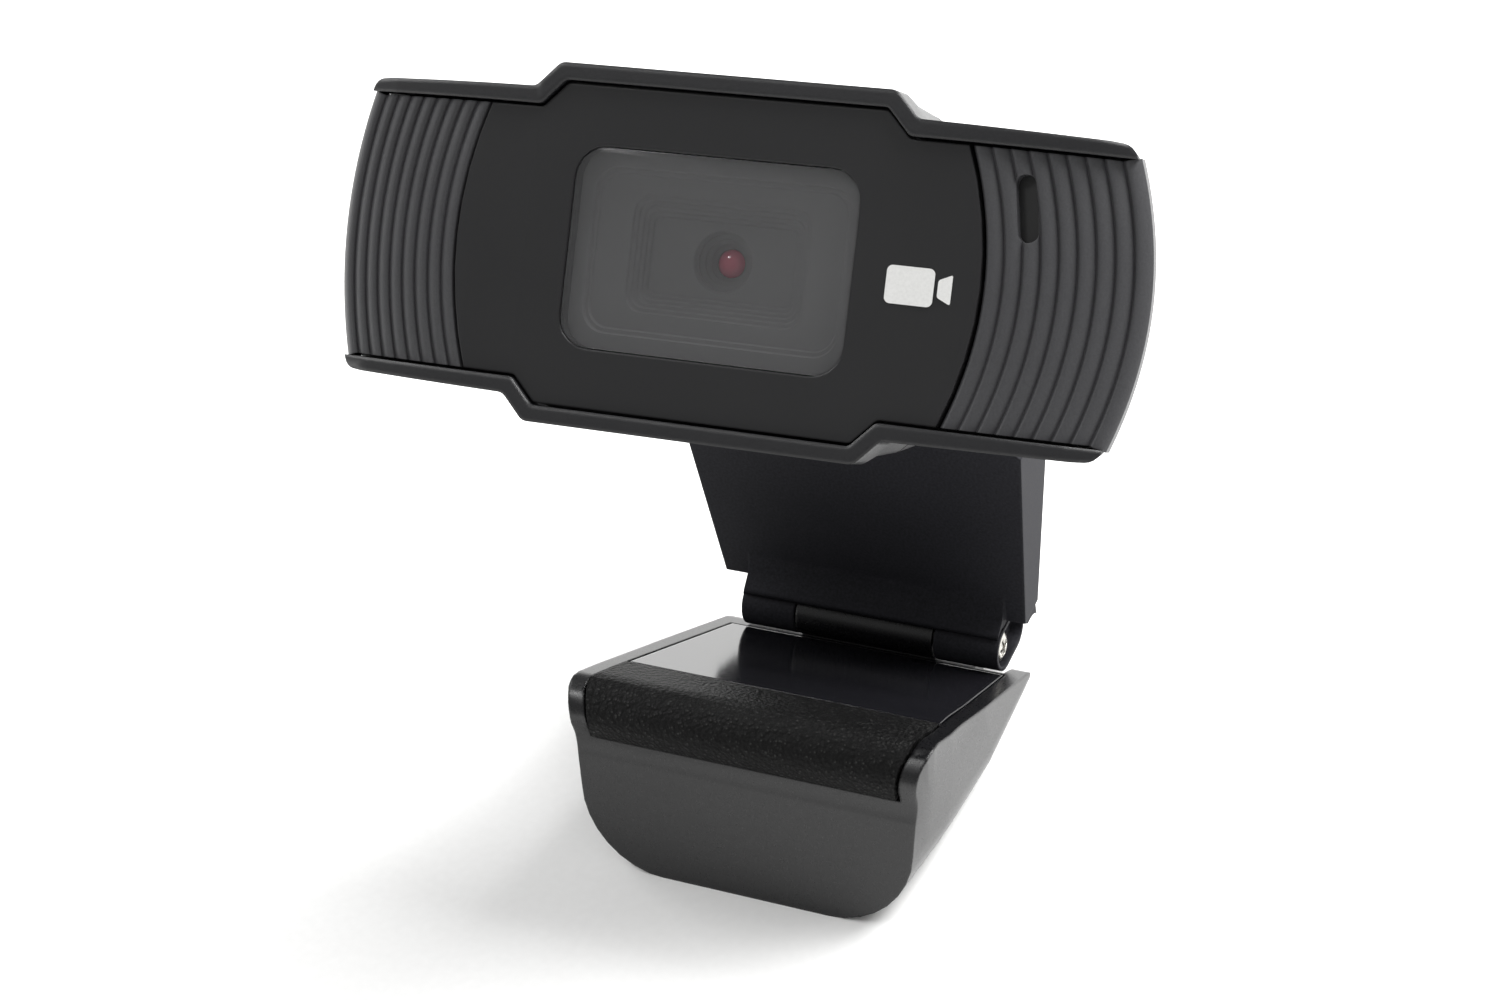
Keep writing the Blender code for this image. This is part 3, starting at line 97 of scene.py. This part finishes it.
def moulded(look):
    # Injection-moulded plastic: a spark-eroded grain from the tool, a slow
    # drift in tone from flow, and softly rounded corners.
    mat, tree, out, where = startMaterial(look["name"])
    grain = addNode(tree, "ShaderNodeTexNoise",
                    {"Scale": 1 / look["grain"], "Detail": 3, "Roughness": 0.6},
                    {"Vector": where})
    drift = addNode(tree, "ShaderNodeTexNoise", {"Scale": 55, "Detail": 2}, {"Vector": where})
    tone = addNode(tree, "ShaderNodeMapRange",
                   {"From Min": 0.3, "From Max": 0.7, "To Min": 0.0, "To Max": 1.0},
                   {"Value": drift.outputs["Fac"]})
    fleck = addNode(tree, "ShaderNodeMapRange",
                    {"From Min": 0.3, "From Max": 0.7, "To Min": 0.0, "To Max": look["fleck"]},
                    {"Value": grain.outputs["Fac"]})
    body = addNode(tree, "ShaderNodeMix",
                   {"data_type": "RGBA", 6: linear(look["colour"]), 7: linear(look["shade"])},
                   {0: tone.outputs["Result"]})
    colour = addNode(tree, "ShaderNodeMix", {"data_type": "RGBA", 7: linear(look["tip"])},
                     {0: fleck.outputs["Result"], 6: body.outputs[2]})
    rough = addNode(tree, "ShaderNodeMapRange",
                    {"From Min": 0.3, "From Max": 0.7,
                     "To Min": look["roughness"] - look["spread"],
                     "To Max": look["roughness"] + look["spread"]},
                    {"Value": grain.outputs["Fac"]})
    corner = addNode(tree, "ShaderNodeBevel", {"samples": 6, "Radius": look["edge"]})
    bump = addNode(tree, "ShaderNodeBump",
                   {"Strength": look["bump"], "Distance": look["relief"]},
                   {"Height": grain.outputs["Fac"], "Normal": corner.outputs["Normal"]})
    shader = addNode(tree, "ShaderNodeBsdfPrincipled",
                     {"IOR": look["ior"], "Coat Weight": look["coat"], "Coat Roughness": 0.12,
                      "Metallic": look.get("metal", 0.0),
                      "Specular IOR Level": look["gloss"]},
                     {"Base Color": colour.outputs[2], "Roughness": rough.outputs["Result"],
                      "Normal": bump.outputs["Normal"]})
    tree.links.new(shader.outputs["BSDF"], out.inputs["Surface"])
    return mat


def plasticLook(name, colour, shade, tip, roughness, grain, bump=0.3, coat=0.0, edge=0.3,
                fleck=0.25, spread=0.05, relief=0.02, ior=1.53, gloss=0.5):
    return {"name": name, "colour": colour, "shade": shade, "tip": tip,
            "roughness": roughness, "grain": grain * mm, "bump": bump, "coat": coat,
            "edge": edge * mm, "fleck": fleck, "spread": spread, "relief": relief * mm,
            "ior": ior, "gloss": gloss}


# ABS of the head's bezel and back: near black, fine satin grain
satinAbs = moulded(plasticLook("satinBlackAbs", "#19191b", "#151517", "#29292c",
                               0.36, 0.22, edge=0.7, gloss=0.5))
# ABS of the neck: nearly black, coarse matt grain that hardly shines
mattAbs = moulded(plasticLook("mattBlackAbs", "#28282b", "#242427", "#3c3c42",
                              0.55, 0.34, bump=0.5, edge=0.45, fleck=0.4, gloss=0.06))
# ABS of the base: black, smoother tool finish that picks up the room along its sides
baseAbs = moulded(plasticLook("smoothBlackAbs", "#0e0e10", "#0c0c0e", "#171719",
                              0.3, 0.26, bump=0.15, edge=0.45, fleck=0.2))
# Polished ABS insert on top of the base: near-mirror black
glossAbs = moulded(plasticLook("polishedBlackAbs", "#161619", "#131316", "#1e1e21",
                               0.13, 0.5, bump=0.02, coat=0.1, spread=0.02, fleck=0.1,
                               gloss=0.4))
# Spray-coated face panel: even dark grey with a soft low gloss
faceCoat = moulded(plasticLook("coatedFaceAbs", "#262627", "#232324", "#2d2d2e",
                               0.34, 0.18, bump=0.06, spread=0.03, fleck=0.1, gloss=0.3))
# Ribbed end panels: same resin, satin grain, a shade lighter
ribbedAbs = moulded(plasticLook("ribbedGreyAbs", "#39393b", "#343436", "#4d4d50",
                                0.42, 0.2, bump=0.35, edge=0.12, fleck=0.3))
# Smoke-grey inner mask that shows through the window
maskAbs = moulded(plasticLook("smokeGreyMaskAbs", "#7e7e7f", "#79797a", "#868687",
                              0.6, 0.2, bump=0.04, edge=0.15, fleck=0.06, spread=0.02,
                              gloss=0.2))
innerAbs = moulded(plasticLook("innerBlackAbs", "#0e0e0f", "#0c0c0d", "#161617",
                               0.5, 0.3, edge=0.15))
# Solder mask over glass-fibre board
boardMask = moulded(plasticLook("solderMaskBoard", "#14532e", "#104826", "#1f6b3d",
                                0.3, 0.4, bump=0.05, coat=0.3, edge=0.1))
# Polyurethane rubber cable gland
softRubber = moulded(plasticLook("blackCableRubber", "#131314", "#101011", "#1f1f20",
                                 0.65, 0.3, edge=0.2))

# Nickel-plated steel: turned screws and nuts, faint tool marks
steelLook = plasticLook("nickelPlatedSteel", "#c9c6c0", "#b4b1ab", "#dedbd4",
                        0.26, 0.12, bump=0.12, edge=0.12, spread=0.06, ior=1.5)
steelLook["metal"] = 1.0
steel = moulded(steelLook)


def gripRubber():
    # Closed-cell rubber sheet with a cast pebble skin, cells about 0.5 mm across
    mat, tree, out, where = startMaterial("pebbledGripRubber")
    cells = addNode(tree, "ShaderNodeTexVoronoi",
                    {"feature": "F1", "Scale": 1 / (0.52 * mm), "Randomness": 1.0},
                    {"Vector": where})
    fine = addNode(tree, "ShaderNodeTexNoise",
                   {"Scale": 1 / (0.35 * mm), "Detail": 4, "Roughness": 0.65},
                   {"Vector": where})
    height = addNode(tree, "ShaderNodeMath", {"operation": "SUBTRACT"},
                     {0: fine.outputs["Fac"], 1: cells.outputs["Distance"]})
    tips = addNode(tree, "ShaderNodeMapRange",
                   {"From Min": 0.22, "From Max": 0.5, "To Min": 0.0, "To Max": 1.0},
                   {"Value": height.outputs["Value"]})
    colour = addNode(tree, "ShaderNodeMix",
                     {"data_type": "RGBA", 6: linear("#030303"), 7: linear("#343433")},
                     {0: tips.outputs["Result"]})
    bump = addNode(tree, "ShaderNodeBump", {"Strength": 0.9, "Distance": 0.16 * mm},
                   {"Height": height.outputs["Value"]})
    shader = addNode(tree, "ShaderNodeBsdfPrincipled",
                     {"IOR": 1.52, "Roughness": 0.5, "Specular IOR Level": 0.16},
                     {"Base Color": colour.outputs[2], "Normal": bump.outputs["Normal"]})
    tree.links.new(shader.outputs["BSDF"], out.inputs["Surface"])
    return mat


def smokedAcrylic():
    # Cast acrylic pane, tinted in the mass, with a thin haze
    mat, tree, out, where = startMaterial("smokedAcrylicPane")
    haze = addNode(tree, "ShaderNodeTexNoise", {"Scale": 90, "Detail": 2}, {"Vector": where})
    tone = addNode(tree, "ShaderNodeMix",
                   {"data_type": "RGBA", 6: linear("#5a5a5b"), 7: linear("#5e5e5f")},
                   {0: haze.outputs["Fac"]})
    shader = addNode(tree, "ShaderNodeBsdfPrincipled",
                     {"IOR": 1.49, "Roughness": 0.12, "Alpha": 0.3},
                     {"Base Color": tone.outputs[2]})
    tree.links.new(shader.outputs["BSDF"], out.inputs["Surface"])
    return mat


def paintedGlintGlass(name, colour, rim):
    # Glass element with an anti-reflection coat. Its colour is a painted magenta reflection, the coat's glint:
    # bright where it faces the viewer, a darker tint towards the rim.
    mat, tree, out, where = startMaterial(name)
    facing = addNode(tree, "ShaderNodeLayerWeight", {"Blend": 0.35})
    sweep = addNode(tree, "ShaderNodeTexNoise", {"Scale": 400, "Detail": 1},
                    {"Vector": where})
    # painted glint: the colour runs from the bright magenta face-on to the darker tint at the rim
    paintedGlintTint = addNode(tree, "ShaderNodeMix",
                   {"data_type": "RGBA", 6: linear(colour), 7: linear(rim)},
                   {0: facing.outputs["Facing"]})
    rough = addNode(tree, "ShaderNodeMapRange", {"To Min": 0.03, "To Max": 0.08},
                    {"Value": sweep.outputs["Fac"]})
    shader = addNode(tree, "ShaderNodeBsdfPrincipled",
                     {"IOR": 1.6, "Coat Weight": 1.0, "Coat Roughness": 0.03},
                     {"Base Color": paintedGlintTint.outputs[2], "Roughness": rough.outputs["Result"]})
    tree.links.new(shader.outputs["BSDF"], out.inputs["Surface"])
    return mat


def printedInk():
    # Pad-printed off-white ink, thin, a little uneven
    mat, tree, out, where = startMaterial("offWhitePrintedInk")
    cover = addNode(tree, "ShaderNodeTexNoise", {"Scale": 1 / (0.3 * mm), "Detail": 3},
                    {"Vector": where})
    tone = addNode(tree, "ShaderNodeMix",
                   {"data_type": "RGBA", 6: linear("#d8d8d6"), 7: linear("#ececea")},
                   {0: cover.outputs["Fac"]})
    shader = addNode(tree, "ShaderNodeBsdfPrincipled", {"IOR": 1.5, "Roughness": 0.5},
                     {"Base Color": tone.outputs[2]})
    tree.links.new(shader.outputs["BSDF"], out.inputs["Surface"])
    return mat


gripSkin = gripRubber()
paneAcrylic = smokedAcrylic()
# lens glass whose magenta colour is a painted reflection of its coat
glintPaintedLensGlass = paintedGlintGlass("magentaGlintPaintedGlass", "#f0607e", "#b84a68")
whiteInk = printedInk()

print("CAD pieces made smooth")


def finish(obj, mat, angle=32):
    obj.data.materials.clear()
    obj.data.materials.append(mat)
    obj.data.shade_smooth()
    obj.data.set_sharp_from_angle(angle=math.radians(angle))
    return obj


def smoothCopy(node, body, mat, name, angle=32):
    mesh = nodes[node].data.copy()
    mesh.name = name
    work = bmesh.new()
    work.from_mesh(mesh)
    bmesh.ops.remove_doubles(work, verts=work.verts, dist=0.002 * mm)
    bmesh.ops.dissolve_limit(work, angle_limit=math.radians(0.4), verts=work.verts,
                             edges=work.edges, delimit=set())
    work.to_mesh(mesh)
    work.free()
    obj = bpy.data.objects.new(name, mesh)
    coll.objects.link(obj)
    finish(obj, mat, angle)
    weighted = obj.modifiers.new("weightedNormals", "WEIGHTED_NORMAL")
    weighted.keep_sharp = True
    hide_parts(node)
    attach(obj, body)
    return obj


shells = [
    ("front_bezel", "head", satinAbs, "bezelShell", "satin_black_plastic"),
    ("faceplate", "head", faceCoat, "facePanel", "face_grey_plastic"),
    ("rear_housing", "head", satinAbs, "backShell", "satin_black_plastic"),
    ("cable_gland", "head", softRubber, "cableGland", "black_rubber"),
    ("swivel_fork", "swivel", mattAbs, "swivelYoke", "satin_black_plastic"),
    ("swivel_washer", "swivel", innerAbs, "swivelWasher", "inner_black_plastic"),
    ("neck_plate", "neck", mattAbs, "neckShell", "satin_black_plastic"),
    ("neck_cover", "neck", mattAbs, "neckBackCover", "satin_black_plastic"),
    ("base_shell", "base", baseAbs, "baseShell", "satin_black_plastic"),
    ("base_cover", "base", baseAbs, "baseUndercover", "satin_black_plastic"),
    ("top_plate", "base", glossAbs, "polishedInsert", "gloss_black_plastic"),
    ("grip_pad", "base", gripSkin, "pebbledPad", "black_rubber"),
]
for node, body, mat, name, slotName in shells:
    smoothCopy(node, body, mat, name)

bodyOf = {n: b for b, ns in frame["record"]["behaviour"]["bodies"].items() for n in ns}
for node in sorted(nodes):
    if "screw" in node or node.endswith("_nut") or node == "microphone":
        piece = smoothCopy(node, bodyOf[node], steel, "turned_" + node, 35)

innerLooks = {
    "lens_holder": innerAbs,
    "image_sensor": glossAbs,
    "circuit_board": boardMask,
    "board_connector": innerAbs,
}
for node, mat in innerLooks.items():
    nodes[node].data.materials.clear()
    nodes[node].data.materials.append(mat)

print("ribbed end panels")
# Sizes of the face, in metres, as the shell has them
panel = {
    "flatHalf": 20.5 * mm,
    "wrapRadius": 60.0 * mm,
    "plateHalf": 26.1 * mm,
    "plateBulge": 2.8 * mm,
    "endHalf": 45.0 * mm,
    "endBulge": 2.4 * mm,
    "reach": 14.2 * mm,
    "gap": 0.3 * mm,
    "shy": 0.05 * mm,
    "drawIn": 0.2 * mm,
    "ribs": 9,
    "ribHeight": 0.5 * mm,
    "wall": 2.2 * mm,
    "across": 9 * 14,
    "up": 26,
}


def faceDepth(x):
    return max(0.0, abs(x) - panel["flatHalf"]) ** 2 / (2 * panel["wrapRadius"])


def plateEdge(z):
    return panel["plateHalf"] + panel["plateBulge"] * (1 - (z / panel["reach"]) ** 2)


def endEdge(z):
    return panel["endHalf"] - panel["endBulge"] * (z / panel["reach"]) ** 2 - panel["shy"]


def ribShape(share):
    # Each rib leans: a short steep side towards the middle of the face and a
    # long falling side outwards, with a rounded crest.
    turn = (share * panel["ribs"]) % 1.0
    rise = 0.3
    if turn < rise:
        return math.sin(turn / rise * math.pi / 2) ** 0.8
    return math.cos((turn - rise) / (1 - rise) * math.pi / 2) ** 0.8


def applyModifiers(obj):
    graph = bpy.context.evaluated_depsgraph_get()
    mesh = bpy.data.meshes.new_from_object(obj.evaluated_get(graph))
    obj.modifiers.clear()
    obj.data = mesh


def newPiece(name, work, place=None):
    mesh = bpy.data.meshes.new(name)
    if place is not None:
        bmesh.ops.transform(work, matrix=place, verts=work.verts)
    work.to_mesh(mesh)
    work.free()
    obj = bpy.data.objects.new(name, mesh)
    coll.objects.link(obj)
    return obj


def ribbedPanel(name, side):
    work = bmesh.new()
    bmesh.ops.create_grid(work, x_segments=panel["across"], y_segments=panel["up"], size=0.5)
    reach = panel["reach"] - panel["gap"]
    for vert in work.verts:
        share = vert.co.x + 0.5
        tuck = panel["gap"] * 1.6 * max(0.0, (share - 0.9) / 0.1)
        z = vert.co.y * 2 * (reach + tuck)
        first = plateEdge(z) + panel["gap"]
        x = first + (endEdge(z) - first) * share
        depth = faceDepth(x) + panel["ribHeight"] * (1 - ribShape(share))
        vert.co = (side * x, depth, z)
    # the walls round the panel, drawn in a little on the outer end
    rim = [edge for edge in work.edges if edge.is_boundary]
    walls = bmesh.ops.extrude_edge_only(work, edges=rim)
    moved = [item for item in walls["geom"] if isinstance(item, bmesh.types.BMVert)]
    for vert in moved:
        x = abs(vert.co.x)
        vert.co.y = faceDepth(x) + panel["wall"]
        far = (x - panel["plateHalf"]) / (panel["endHalf"] - panel["plateHalf"])
        vert.co.x -= side * panel["drawIn"] * max(0.0, far) ** 3
    bmesh.ops.holes_fill(work, edges=[e for e in work.edges if e.is_boundary], sides=0)
    bmesh.ops.recalc_face_normals(work, faces=work.faces)
    return newPiece(name, work)


leftPanel = ribbedPanel("leftRibbedPanel", -1)
rightPanel = ribbedPanel("rightRibbedPanel", 1)

print("microphone slot")
slot = {"x": 32.5 * mm, "z": 8.3 * mm, "radius": 1.0 * mm, "half": 2.35 * mm,
        "lean": math.radians(9.0), "cutFront": -3 * mm, "cutBack": 9 * mm,
        "feltGrow": 0.35 * mm, "feltFront": 2.35 * mm, "feltBack": 2.9 * mm}


def capsulePiece(name, grow, front, back, place=None):
    work = bmesh.new()
    bmesh.ops.create_circle(work, cap_ends=True, radius=slot["radius"] + grow, segments=36)
    for vert in work.verts:
        vert.co.y += slot["half"] if vert.co.y > -1e-7 else -slot["half"]
    bmesh.ops.rotate(work, verts=work.verts, cent=(0, 0, 0),
                     matrix=Matrix.Rotation(slot["lean"], 3, "Z"))
    bmesh.ops.rotate(work, verts=work.verts, cent=(0, 0, 0),
                     matrix=Matrix.Rotation(math.radians(90), 3, "X"))
    bmesh.ops.translate(work, verts=work.verts, vec=(slot["x"], front, slot["z"]))
    face = list(work.faces)
    grown = bmesh.ops.extrude_face_region(work, geom=face, use_keep_orig=True)
    verts = [v for v in grown["geom"] if isinstance(v, bmesh.types.BMVert)]
    bmesh.ops.translate(work, verts=verts, vec=(0, back - front, 0))
    bmesh.ops.recalc_face_normals(work, faces=work.faces)
    return newPiece(name, work, place)


cutter = capsulePiece("slotCutter", 0.0, slot["cutFront"], slot["cutBack"])
cut = rightPanel.modifiers.new("slot", "BOOLEAN")
cut.operation = "DIFFERENCE"
cut.object = cutter
applyModifiers(rightPanel)
bpy.data.objects.remove(cutter)
for obj, node in ((leftPanel, "left_grille"), (rightPanel, "right_grille")):
    obj.data.transform(headPlace)
    finish(obj, ribbedAbs, 40)
    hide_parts(node)
    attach(obj, "head")
# acoustic felt just behind the slot
felt = capsulePiece("microphoneFelt", slot["feltGrow"], slot["feltFront"], slot["feltBack"],
                    headPlace)
finish(felt, innerAbs)
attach(felt, "head")

print("window and lens")
window = {
    "halfX": 15.68 * mm, "halfZ": 10.33 * mm, "radius": 3.28 * mm,
    "paneFront": 0.12 * mm, "paneBack": 1.6 * mm,
    # each ledge: half width, half height, corner radius and depth, in mm
    "ledges": [(15.72, 10.37, 3.32, 2.0), (14.2, 8.65, 2.6, 2.45), (13.8, 8.1, 2.3, 2.75),
               (9.9, 6.1, 1.9, 3.05), (9.45, 5.6, 1.6, 3.35), (9.0, 5.1, 1.35, 3.65),
               (8.55, 4.6, 1.1, 3.95), (8.1, 4.1, 0.8, 4.25)],
    "corner": 0.12 * mm,
    "paneEdge": 0.08 * mm,
    "wellRadius": 3.25 * mm, "wellDepth": 4.6 * mm,
}


def roundedRectangle(work, halfX, halfZ, radius, y):
    # A square face whose corners are bevelled round, facing the viewer
    bmesh.ops.create_grid(work, x_segments=1, y_segments=1, size=1.0)
    for vert in work.verts:
        vert.co = (vert.co.x * halfX, y, vert.co.y * halfZ)
    bmesh.ops.bevel(work, geom=list(work.verts), offset=radius, affect="VERTICES",
                    segments=8, profile=0.5, material=-1)
    for face in work.faces:
        if face.normal.y > 0:
            face.normal_flip()
    return list(work.faces)


def pane():
    work = bmesh.new()
    roundedRectangle(work, window["halfX"], window["halfZ"], window["radius"],
                     window["paneFront"])
    grown = bmesh.ops.extrude_face_region(work, geom=list(work.faces), use_keep_orig=True)
    verts = [v for v in grown["geom"] if isinstance(v, bmesh.types.BMVert)]
    bmesh.ops.translate(work, verts=verts, vec=(0, window["paneBack"] - window["paneFront"], 0))
    bmesh.ops.recalc_face_normals(work, faces=work.faces)
    bmesh.ops.bevel(work, geom=[e for e in work.edges if abs(e.verts[0].co.y - e.verts[1].co.y)
                                < 1e-7], offset=window["paneEdge"], affect="EDGES", segments=2,
                    profile=0.5, material=-1)
    return newPiece("smokedPane", work, headPlace)


def nextLedge(work, edges, old, new, depth):
    # Carries a round-cornered loop inwards and down, keeping each point's own corner
    grown = bmesh.ops.extrude_edge_only(work, edges=edges)["geom"]
    for vert in [item for item in grown if isinstance(item, bmesh.types.BMVert)]:
        spots = []
        for value, half, newHalf in ((vert.co.x, old[0], new[0]), (vert.co.z, old[1], new[1])):
            side = math.copysign(1.0, value)
            along = (value - side * (half - old[2])) / old[2]
            spots.append(side * (newHalf - new[2]) + along * new[2])
        vert.co = (spots[0], depth, spots[1])
    return [item for item in grown if isinstance(item, bmesh.types.BMEdge)]


def mask():
    # One sheet that steps down in round-cornered ledges to a flat floor with
    # a round well in it
    work = bmesh.new()
    first = window["ledges"][0]
    size = [value * mm for value in first[:3]]
    roundedRectangle(work, *size, first[3] * mm)
    bmesh.ops.delete(work, geom=list(work.faces), context="FACES_ONLY")
    edges = list(work.edges)
    depth = first[3] * mm
    for halfX, halfZ, radius, below in window["ledges"][1:]:
        rim = [halfX * mm, halfZ * mm, radius * mm]
        foot = [rim[0] - window["corner"], rim[1] - window["corner"], rim[2]]
        edges = nextLedge(work, edges, size, rim, depth)
        edges = nextLedge(work, edges, rim, foot, below * mm)
        size = foot
        depth = below * mm
    well = [window["wellRadius"]] * 3
    foot = [window["wellRadius"] * 0.93] * 3
    edges = nextLedge(work, edges, size, well, depth)
    nextLedge(work, edges, well, foot, window["wellDepth"])
    bmesh.ops.recalc_face_normals(work, faces=work.faces)
    outer = max(work.faces, key=lambda face: abs(face.calc_center_median().x))
    if outer.normal.y > 0:
        bmesh.ops.reverse_faces(work, faces=work.faces)
    return newPiece("ledgedMask", work, headPlace)


glassPane = pane()
finish(glassPane, paneAcrylic, 30)
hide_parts("lens_window")
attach(glassPane, "head")
ledged = mask()
finish(ledged, maskAbs, 20)
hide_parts("light_baffle")
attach(ledged, "head")


def turnedPiece(name, profile, mat, steps=64):
    # A profile of radius and depth pairs, spun about the optical axis
    work = bmesh.new()
    verts = [work.verts.new((radius, depth, 0)) for radius, depth in profile]
    edges = [work.edges.new(pair) for pair in zip(verts, verts[1:])]
    bmesh.ops.spin(work, geom=verts + edges, cent=(0, 0, 0), axis=(0, 1, 0),
                   angle=math.radians(360), steps=steps, use_merge=True)
    bmesh.ops.remove_doubles(work, verts=work.verts, dist=0.001 * mm)
    bmesh.ops.recalc_face_normals(work, faces=work.faces)
    obj = newPiece(name, work, headPlace)
    finish(obj, mat, 30)
    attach(obj, "head")
    return obj


barrelProfile = [(3.2, 4.7), (3.2, 10.4), (1.55, 10.4), (1.55, 6.6), (2.0, 6.35),
                 (2.0, 6.0), (2.45, 5.75), (2.45, 5.4), (2.9, 5.1), (2.9, 4.7), (3.2, 4.7)]
barrel = turnedPiece("threadedBarrel", [(r * mm, d * mm) for r, d in barrelProfile],
                     maskAbs)
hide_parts("lens_barrel")
lensProfile = [(0.0, 6.0), (0.5, 6.04), (0.95, 6.18), (1.3, 6.42), (1.48, 6.66),
               (1.48, 7.2), (0.0, 7.2)]
lens = turnedPiece("domedLens", [(r * mm, d * mm) for r, d in lensProfile], glintPaintedLensGlass)
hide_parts("front_lens")

print("printed mark")
mark = {"x": 22.6 * mm, "z": -0.4 * mm, "shift": 0.7 * mm,
        "bodyX": 2.5 * mm, "bodyZ": 1.9 * mm, "bodyCorner": 0.6 * mm,
        "hoodNear": 2.9 * mm, "hoodFar": 4.3 * mm, "hoodCorner": 0.2 * mm,
        "nearHalf": 0.85 * mm, "farHalf": 1.5 * mm,
        "thick": 0.05 * mm, "sunk": 0.01 * mm}


def printedCamera():
    # A plain video-camera pictogram: a round-cornered body and a flared hood
    work = bmesh.new()
    roundedRectangle(work, mark["bodyX"], mark["bodyZ"], mark["bodyCorner"], 0.0)
    hood = bmesh.new()
    bmesh.ops.create_grid(hood, x_segments=1, y_segments=1, size=1.0)
    for vert in hood.verts:
        outer = vert.co.x > 0
        tall = mark["farHalf"] if outer else mark["nearHalf"]
        along = mark["hoodFar"] if outer else mark["hoodNear"]
        vert.co = (along, 0.0, math.copysign(tall, vert.co.y))
    bmesh.ops.bevel(hood, geom=list(hood.verts), offset=mark["hoodCorner"], affect="VERTICES",
                    segments=3, profile=0.5, material=-1)
    for face in hood.faces:
        if face.normal.y > 0:
            face.normal_flip()
    joined = bpy.data.meshes.new("hood")
    hood.to_mesh(joined)
    hood.free()
    work.from_mesh(joined)
    bpy.data.meshes.remove(joined)
    grown = bmesh.ops.extrude_face_region(work, geom=list(work.faces), use_keep_orig=True)
    verts = [v for v in grown["geom"] if isinstance(v, bmesh.types.BMVert)]
    bmesh.ops.translate(work, verts=verts, vec=(0, -mark["thick"], 0))
    bmesh.ops.recalc_face_normals(work, faces=work.faces)
    for vert in work.verts:
        vert.co.x += mark["x"] - mark["shift"]
        vert.co.z += mark["z"]
        vert.co.y += faceDepth(vert.co.x) - mark["sunk"]
    return newPiece("printedCameraMark", work, headPlace)


ink = printedCamera()
finish(ink, whiteInk)
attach(ink, "head")

print("stage, light and camera")
studio = {
    "floorSize": 3.0,
    "floorColour": "#f4f4f3",
    "skyStrength": 0.4,
    "aim": (0, 0, 0.05),
    "key": {"place": (0.5, 0.6, 0.85), "size": 0.7, "power": 28},
    "strip": {"place": (-0.5, -0.3, 1.0), "size": 0.22, "power": 2.2},
    "rim": {"place": (-0.8, 0.2, 0.6), "size": 0.5, "power": 4},
}


def studioFloor():
    mat, tree, out, where = startMaterial("paperSweep")
    fibre = addNode(tree, "ShaderNodeTexNoise", {"Scale": 900, "Detail": 2}, {"Vector": where})
    tone = addNode(tree, "ShaderNodeMix",
                   {"data_type": "RGBA", 6: linear(studio["floorColour"]),
                    7: linear("#fafaf9")}, {0: fibre.outputs["Fac"]})
    shader = addNode(tree, "ShaderNodeBsdfPrincipled", {"Roughness": 0.8},
                     {"Base Color": tone.outputs[2]})
    tree.links.new(shader.outputs["BSDF"], out.inputs["Surface"])
    work = bmesh.new()
    bmesh.ops.create_grid(work, x_segments=2, y_segments=2, size=studio["floorSize"])
    floor = newPiece("paperFloor", work)
    floor.data.materials.append(mat)


def softbox(name, look):
    light = bpy.data.lights.new(name, "AREA")
    light.shape = "SQUARE"
    light.size = look["size"]
    light.energy = look["power"]
    obj = bpy.data.objects.new(name, light)
    obj.location = look["place"]
    aim = Vector(studio["aim"]) - obj.location
    obj.rotation_euler = aim.to_track_quat("-Z", "Y").to_euler()
    coll.objects.link(obj)


studioFloor()
for name in ("key", "strip", "rim"):
    softbox(name + "Softbox", studio[name])
bpy.context.scene.view_settings.view_transform = "Standard"
world = bpy.data.worlds.new("paleSurround")
bpy.context.scene.world = world
world.use_nodes = True
world.node_tree.nodes["Background"].inputs["Color"].default_value = linear("#ffffff")
world.node_tree.nodes["Background"].inputs["Strength"].default_value = studio["skyStrength"]

view = {
    "lens": 72.0,
    "place": (130.5 * mm, -222.9 * mm, 251.6 * mm),
    "towardsLeft": math.radians(31.24),
    "down": math.radians(39.45),
    "roll": math.radians(-11.28),
}
camData = bpy.data.cameras.new("productCamera")
camData.lens = view["lens"]
camData.sensor_width = 36
camData.clip_start = 0.01
camera = bpy.data.objects.new("productCamera", camData)
camera.matrix_world = (Matrix.Translation(view["place"])
                       @ Matrix.Rotation(view["towardsLeft"], 4, "Z")
                       @ Matrix.Rotation(math.radians(90) - view["down"], 4, "X")
                       @ Matrix.Rotation(view["roll"], 4, "Z"))
coll.objects.link(camera)
bpy.context.scene.camera = camera
